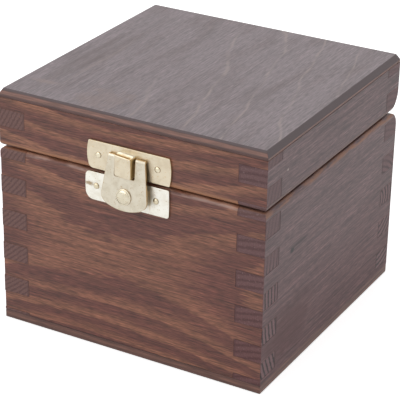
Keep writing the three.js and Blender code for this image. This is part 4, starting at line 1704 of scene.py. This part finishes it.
@dataclass
class FramePart:
    """The base or the lid: four finger-jointed boards, sawn from one glued frame."""

    name: str
    walls: Walls
    joint: FingerJoint
    openings: Openings
    sawn_below: float
    back_round: float
    rim_round: float = 0.0016
    arris: float = 0.00045
    joint_arris_share: float = 0.2
    facets: int = 8

    def build(self, shop: Workshop, tree: Group, finishes: BoxFinishes) -> None:
        """Grows the four boards.

        Args:
            shop: makes the finished pieces.
            tree: the tree that grows a board.
            finishes: the materials.
        """
        low, high = self.walls.levels(f"{self.name}_front_board")
        forms = self._forms(low, high)
        easing = Easing(self.arris, share=self._arris_share)
        for side in Side:
            node = f"{self.name}_{side.value}_board"
            cutters = self.openings.cutters(self.name, side)
            finish = finishes.walls[side]
            inputs = {**self._comb(side, low, high), **forms, "Cutters": cutters, "Finish": finish}
            mesh = grown(node, tree, inputs, bpy.data.meshes.new(node))
            shop.kept_within(mesh, node)
            shop.finished(f"{node}_wood", mesh, finish, [node], easing)
            bpy.data.objects.remove(cutters)
        for form in forms.values():
            bpy.data.objects.remove(form)

    def _forms(self, low: float, high: float) -> dict[str, bpy.types.Object]:
        """The two prisms that trim a board: the part seen from the side and from the front.

        Args:
            low: the boards' lowest level.
            high: their highest level.

        Returns:
            The helper objects, by the name of the tree's input.
        """
        bottom, top = (0, 1) if self.name == "base" else (1, 0)
        forms = {}
        for name, wall, far_round, facets in (
            ("Side Form", Side.FRONT, self.back_round, 2 * self.facets),
            ("Face Form", Side.LEFT, self.rim_round, self.facets),
        ):
            near, far = self.walls.span(Side.LEFT if wall is Side.FRONT else Side.FRONT)
            corners = [
                Rounded(near, low, bottom * self.rim_round),
                Rounded(far, low, bottom * far_round),
                Rounded(far, high, top * far_round),
                Rounded(near, high, top * self.rim_round),
            ]
            outline = rounded_outline(corners, facets)
            forms[name] = prism(f"{self.name} {name}", outline, wall.along, *self.walls.span(wall))
        return forms

    def _comb(self, side: Side, low: float, high: float) -> dict[str, object]:
        """The tree's inputs for the core and the fingers of one board.

        Args:
            side: the board's wall.
            low: the boards' lowest level.
            high: their highest level.

        Returns:
            The values by the names of the inputs.
        """

        def laid(length: float, depth: float, height: float) -> Triple:
            """A size or place along, through and up as X, Y and Z."""
            return (length, depth, height) if side.along is Axis.X else (depth, length, height)

        joint, thickness = self.joint, self.walls.thickness(side)
        start, end = self.walls.span(side)
        neighbour_thickness = self.walls.thickness(side.ends[0])
        through = self.walls.face(side) - side.outward * (thickness - OVERRUN) / 2
        frame_height = high - low + self.sawn_below
        bar_length = neighbour_thickness + joint.bite + OVERRUN
        reach = bar_length / 2 - OVERRUN
        core_length = end - start - 2 * (neighbour_thickness + joint.gap)
        first_low, first_high = (
            joint.first_centre(side, neighbour) - self.sawn_below + low for neighbour in side.ends
        )
        return {
            "Fingers": math.ceil(frame_height / (2 * joint.pitch)) + 1,
            "First Low Finger": laid(start + reach, through, first_low),
            "First High Finger": laid(end - reach, through, first_high),
            "Finger Step": 2 * joint.pitch,
            "Bar Size": laid(bar_length, thickness + OVERRUN, joint.pitch - joint.gap),
            "Core Size": laid(core_length, thickness + OVERRUN, high - low + 2 * OVERRUN),
            "Core Place": laid((start + end) / 2, through, (low + high) / 2),
        }

    def _arris_share(self, start: Vector, end: Vector) -> float:
        """How much of the arris an edge gets: all of it on the box's upright corners.

        Args:
            start: one end of the edge.
            end: its other end.

        Returns:
            The share.
        """
        corner = (self.walls.face(Side.RIGHT), self.walls.face(Side.BACK))
        on_corner = all(
            abs(abs(point[i]) - corner[i]) < WELD for point in (start, end) for i in range(2)
        )
        return 1.0 if on_corner else self.joint_arris_share


class Head(Enum):
    """The two kinds of nail heads, by the tree's switch."""

    DOMED = False
    COUNTERSUNK = True


# How finely nails are turned, and how much of the shank and its point lies inside the next form
HEAD_FACETS = 28
DOME_RINGS = 7
SHANK_FACETS = 14
SHANK_LAP = 0.4
POINT_LAP = 0.98
POINT_WIDTH = 0.1


def nail_tree() -> Group:
    """The tree that drives a turned nail in at each point that it is given.

    Returns:
        The group with named inputs.
    """
    sizes = ("Head Radius", "Head Height", "Shank Radius", "Shank Length", "Point Length")
    inputs = {
        "Places": GEOMETRY,
        "Countersunk": SWITCH,
        **dict.fromkeys(sizes, FLOAT),
        "Turn": VECTOR,
        "Finish": MATERIAL,
    }
    group = Group("Nails", GEOMETRY_TREE, inputs, {"Mesh": GEOMETRY})
    graph, given = group.graph, group.given
    radius, height, shank, length, point = (given[size] for size in sizes)

    def cone(*numbers: Source) -> Socket:
        """A cone that stands on the origin, by its facets, rings, both radii and depth."""
        names = ("Vertices", "Side Segments", "Radius Top", "Radius Bottom", "Depth")
        return graph.made("GeometryNodeMeshCone", dict(zip(names, numbers)))

    def lowered(geometry: Socket, level: Source) -> Socket:
        """A form moved to a level."""
        moved = {"Geometry": geometry, "Translation": graph.whole(0.0, 0.0, level)}
        return graph.made("GeometryNodeTransform", moved)

    x, y, rise = graph.parts(graph.node("GeometryNodeInputPosition").outputs[0])
    angle = graph.times(rise, math.pi / 2)
    outwards = graph.vector("NORMALIZE", graph.whole(x, y, 0.0))
    spread = graph.vector("SCALE", outwards, graph.times(graph.math("COSINE", angle), radius))
    lifted = graph.whole(0.0, 0.0, graph.times(graph.math("SINE", angle), height))
    crown = graph.vector("ADD", spread, lifted)
    raised = {"Geometry": cone(HEAD_FACETS, DOME_RINGS, 0.0, 1.0, 1.0), "Position": crown}
    dome = graph.made("GeometryNodeSetPosition", raised)
    sunk = lowered(cone(HEAD_FACETS, 1, radius, shank, height), graph.times(height, -1.0))
    heads = {"Switch": given["Countersunk"], "False": dome, "True": sunk}
    straight = graph.math("SUBTRACT", length, point)
    rod = {"Vertices": SHANK_FACETS, "Radius": shank, "Depth": straight}
    middle = graph.plus_times(straight, -0.5, graph.times(height, SHANK_LAP))
    driven = lowered(graph.made("GeometryNodeMeshCylinder", rod), middle)
    tip = cone(SHANK_FACETS, 1, shank, graph.times(shank, POINT_WIDTH), point)
    tip = lowered(tip, graph.times(length, -POINT_LAP))
    nail = graph.node("GeometryNodeMeshBoolean", operation="UNION", solver="MANIFOLD")
    for form in (graph.made("GeometryNodeSwitch", heads), driven, tip):
        graph.feed(nail.inputs[1], form)
    turn = graph.made("FunctionNodeEulerToRotation", {0: given["Turn"]})
    set_in = {"Points": given["Places"], "Instance": nail.outputs[0], "Rotation": turn}
    group.give_dressed(graph.made("GeometryNodeInstanceOnPoints", set_in))
    return group


@dataclass
class NailSet:
    """Nails of one kind that ride on one body."""

    name: str
    nodes: Sequence[str]
    finish: str
    outward: Vector
    head: Head
    head_radius: float
    head_height: float
    shank_radius: float = 0.00055
    point_length: float = 0.0014
    smooth_under: float = math.radians(40)

    @property
    def dome_height(self) -> float:
        """How far the head stands above its seat: nothing if it is sunk."""
        return self.head_height if self.head is Head.DOMED else 0.0

    def build(self, shop: Workshop, tree: Group, material: bpy.types.Material) -> None:
        """Drives the nails in where their nodes are.

        Args:
            shop: makes the finished piece.
            tree: the tree that makes nails.
            material: their finish.
        """
        start = bpy.data.meshes.new(f"{self.name} places")
        start.from_pydata([self._seat(node) for node in self.nodes], [], [])
        inputs = {
            "Countersunk": self.head.value,
            "Head Radius": self.head_radius,
            "Head Height": self.head_height,
            "Shank Radius": self.shank_radius,
            "Shank Length": self._length(self.nodes[0]) - self.dome_height,
            "Point Length": self.point_length,
            "Turn": UP.rotation_difference(self.outward).to_euler(),
            "Finish": material,
        }
        mesh = grown(self.name, tree, inputs, start)
        shop.finished(self.name, mesh, material, self.nodes, smooth_under=self.smooth_under)

    def _length(self, node: str) -> float:
        """The whole length of one nail."""
        low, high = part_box(node)
        return abs((high - low).dot(self.outward))

    def _seat(self, node: str) -> Vector:
        """Where the head of one nail starts: under a dome, and at the top of a sunk head."""
        low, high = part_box(node)
        return (low + high) / 2 + self.outward * (self._length(node) / 2 - self.dome_height)


def nail_sets() -> Iterable[NailSet]:
    """Every set of nails on the box.

    Yields:
        The set.
    """
    outwards = Vector((0, -1, 0))
    for plate in ("keeper", "base_plate"):
        nodes = [f"{plate}_nail_{hand}" for hand in HANDS]
        yield NailSet(f"{plate}_nails", nodes, "nail", outwards, Head.DOMED, 0.00105, 0.00045)
    for part, outward in (("base", UP), ("lid", -UP)):
        nodes = [f"hinge_{hand}_{part}_nail_{number}" for hand in HANDS for number in (1, 2)]
        head = (Head.COUNTERSUNK, 0.0012, 0.00055)
        yield NailSet(f"hinge_{part}_nails", nodes, "hinge", outward, *head)


@dataclass
class Panels:
    """The two plywood panels."""

    easing: float = 0.00022

    def build(self, shop: Workshop, finishes: BoxFinishes) -> None:
        """Makes eased copies of the panels."""
        for node, material in finishes.panels.items():
            shop.dressed_copy(node, "veneered", material, easing=Easing(self.easing))


@dataclass
class ButtHinge:
    """One of the two hinges in the groove at the back."""

    hand: str
    easing: float = 0.0001

    def build(self, shop: Workshop, finishes: BoxFinishes) -> None:
        """Makes eased copies of the leaves and a copy of the pin.

        Args:
            shop: makes the finished pieces.
            finishes: the materials.
        """
        for part in ("base", "lid"):
            leaf = f"hinge_{self.hand}_{part}_leaf"
            shop.dressed_copy(leaf, "plated", finishes.metals["hinge"], easing=Easing(self.easing))
        shop.dressed_copy(f"hinge_{self.hand}_pin", "drawn", finishes.metals["steel"])


@dataclass
class SnapLock:
    """The forked snap lock: two pressed plates, the sprung lever and its rivet."""

    lever_easing: float = 0.00018
    lever_segments: int = 3
    spring_leg: float = 0.0003
    smooth_under: float = math.radians(50)
    spring_smooth_under: float = math.radians(45)

    def build(self, shop: Workshop, finishes: BoxFinishes) -> None:
        """Makes the lock's pieces.

        Args:
            shop: makes the finished pieces.
            finishes: the materials.
        """
        turned = {"smooth_under": self.smooth_under}
        pressed = {"pressed": True, **turned}
        bent = {"easing": Easing(self.lever_easing, self.lever_segments)}
        for name, node, ending, how in (
            ("keeper", "latch_keeper_plate", "pressed", pressed),
            ("base_plate", "latch_base_plate", "pressed", pressed),
            ("lever", "latch_lever", "pressed", bent),
            ("rivet", "latch_rivet", "turned", turned),
        ):
            shop.dressed_copy(node, ending, finishes.metals[name], **how)
        self._spring(shop, finishes.metals["steel"])

    def _spring(self, shop: Workshop, steel: bpy.types.Material) -> None:
        """Makes the hairpin spring, which bends between the lower plate and the lever.

        Args:
            shop: makes the finished piece.
            steel: its finish.
        """
        node = "latch_spring"
        how = {"smooth_under": self.spring_smooth_under, "riding": False}
        spring = shop.dressed_copy(node, "bent", steel, **how)
        low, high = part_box(node)
        middle = (low + high) / 2
        start = Vector((middle.x, high.y - self.spring_leg, middle.z))
        end = Vector((middle.x, low.y + self.spring_leg, middle.z))
        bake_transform(spring, "base", "lever", start=start, end=end)


@dataclass(frozen=True)
class Viewpoint:
    """Where the camera stands and what it aims at, found from the box's corners."""

    azimuth: float = math.radians(28.998)
    elevation: float = math.radians(25.52)
    distance: float = 0.6099
    aim_across: float = -0.00104
    aim_height: float = 0.03691
    roll: float = math.radians(1.07)
    lens: float = 156.79
    clip: Band = (0.01, 20.0)

    def build(self) -> None:
        """Creates the camera and makes it the scene's own."""
        across = Vector((math.cos(self.azimuth), math.sin(self.azimuth), 0))
        level = Vector((across.y, -across.x, 0))
        back = level * math.cos(self.elevation) + UP * math.sin(self.elevation)
        data = bpy.data.cameras.new("camera")
        data.lens = self.lens
        data.clip_start, data.clip_end = self.clip
        camera = bpy.data.objects.new("camera", data)
        bpy.context.scene.collection.objects.link(camera)
        turn = (-back).to_track_quat("-Z", "Y").to_matrix().to_4x4()
        turn = turn @ Matrix.Rotation(self.roll, 4, "Z")
        aim = across * self.aim_across + UP * self.aim_height
        camera.matrix_world = Matrix.Translation(aim + back * self.distance) @ turn
        bpy.context.scene.camera = camera


@dataclass(frozen=True)
class Softbox:
    """One soft square lamp that faces the box."""

    name: str
    place: Triple
    width: float
    power: float

    def build(self, target: Vector) -> None:
        """Creates the lamp.

        Args:
            target: what it faces.
        """
        data = bpy.data.lights.new(self.name, "AREA")
        data.size = self.width
        data.energy = self.power
        lamp = bpy.data.objects.new(self.name, data)
        bpy.context.scene.collection.objects.link(lamp)
        lamp.location = self.place
        lamp.rotation_euler = (target - Vector(self.place)).to_track_quat("-Z", "Y").to_euler()


@dataclass
class Studio:
    """A plain white room: floor, soft lamps and an even sky."""

    floor_reach: float = 3.0
    floor_drop: float = 0.0002
    floor_colour: Colour = (0.86, 0.86, 0.86)
    floor_glow: float = 0.6
    mirrored_glow: float = 0.3
    sky_light: float = 0.48
    lamps: Sequence[Softbox] = (
        Softbox("key lamp", (-0.50, -0.78, 0.75), 1.2, 4.85),
        Softbox("top lamp", (0.05, 0.25, 0.95), 0.8, 3.0),
    )

    def build(self) -> None:
        """Creates the floor, the sky and the lamps."""
        bpy.context.scene.view_settings.view_transform = "Standard"
        self._floor()
        self._sky()
        for lamp in self.lamps:
            lamp.build(Vector((0, 0, CAD_BOX[1].z / 2)))

    @staticmethod
    def _seen(graph: Graph) -> tuple[Socket, Socket]:
        """The rays that show the background, told apart from those that light the box.

        Args:
            graph: the tree that asks.

        Returns:
            Masks of the camera's rays and of mirrored ones.
        """
        path = graph.node("ShaderNodeLightPath").outputs
        mirrored = graph.math("MAXIMUM", path["Is Glossy Ray"], path["Is Transmission Ray"])
        return path["Is Camera Ray"], mirrored

    def _floor(self) -> None:
        """Creates the pale floor, which keeps the box's shadow."""
        material = bpy.data.materials.new("floor")
        graph = blank(material)
        matt = graph.made("ShaderNodeBsdfDiffuse", {"Color": self.floor_colour})
        seen, mirrored = self._seen(graph)
        strength = graph.times(seen, self.floor_glow)
        strength = graph.plus_times(mirrored, self.mirrored_glow, strength)
        glow = graph.made("ShaderNodeEmission", {"Strength": strength})
        both = graph.made("ShaderNodeAddShader", {0: matt, 1: glow})
        graph.node("ShaderNodeOutputMaterial", {"Surface": both})
        mesh = bpy.data.meshes.new("floor")
        corners = ((-1, -1), (1, -1), (1, 1), (-1, 1))
        reach, level = self.floor_reach, -self.floor_drop
        points = [(x * reach, y * reach, level) for x, y in corners]
        mesh.from_pydata(points, [], [range(len(points))])
        mesh.materials.append(material)
        floor = bpy.data.objects.new("floor", mesh)
        bpy.context.scene.collection.objects.link(floor)

    def _sky(self) -> None:
        """Creates the even sky, which shows white and lights the box more softly."""
        world = bpy.data.worlds.new("sky")
        graph = blank(world)
        seen = graph.math("MAXIMUM", *self._seen(graph))
        strength = graph.plus_times(seen, 1.0 - self.sky_light, self.sky_light)
        sky = graph.made("ShaderNodeBackground", {"Color": WHITE, "Strength": strength})
        graph.node("ShaderNodeOutputWorld", {"Surface": sky})
        bpy.context.scene.world = world


def main() -> None:
    """Builds the studio and the box, part by part."""
    logging.basicConfig(level=logging.INFO, format="%(message)s")
    Viewpoint().build()
    Studio().build()
    walls, shop, joint = Walls(), Workshop(), FingerJoint()
    finishes = BoxFinishes(Effects(), walls)
    openings, boards = Openings(walls), finger_board_tree()
    base_low, base_high = walls.levels("base_front_board")
    sawn_below = base_high - base_low + joint.kerf
    for part in (
        FramePart("base", walls, joint, openings, sawn_below=0.0, back_round=0.006),
        FramePart("lid", walls, joint, openings, sawn_below=sawn_below, back_round=0.0073),
    ):
        part.build(shop, boards, finishes)
    for part in (Panels(), *(ButtHinge(hand) for hand in HANDS), SnapLock()):
        part.build(shop, finishes)
    nails = nail_tree()
    for nail_set in nail_sets():
        nail_set.build(shop, nails, finishes.metals[nail_set.finish])


if __name__ == "__main__":
    main()
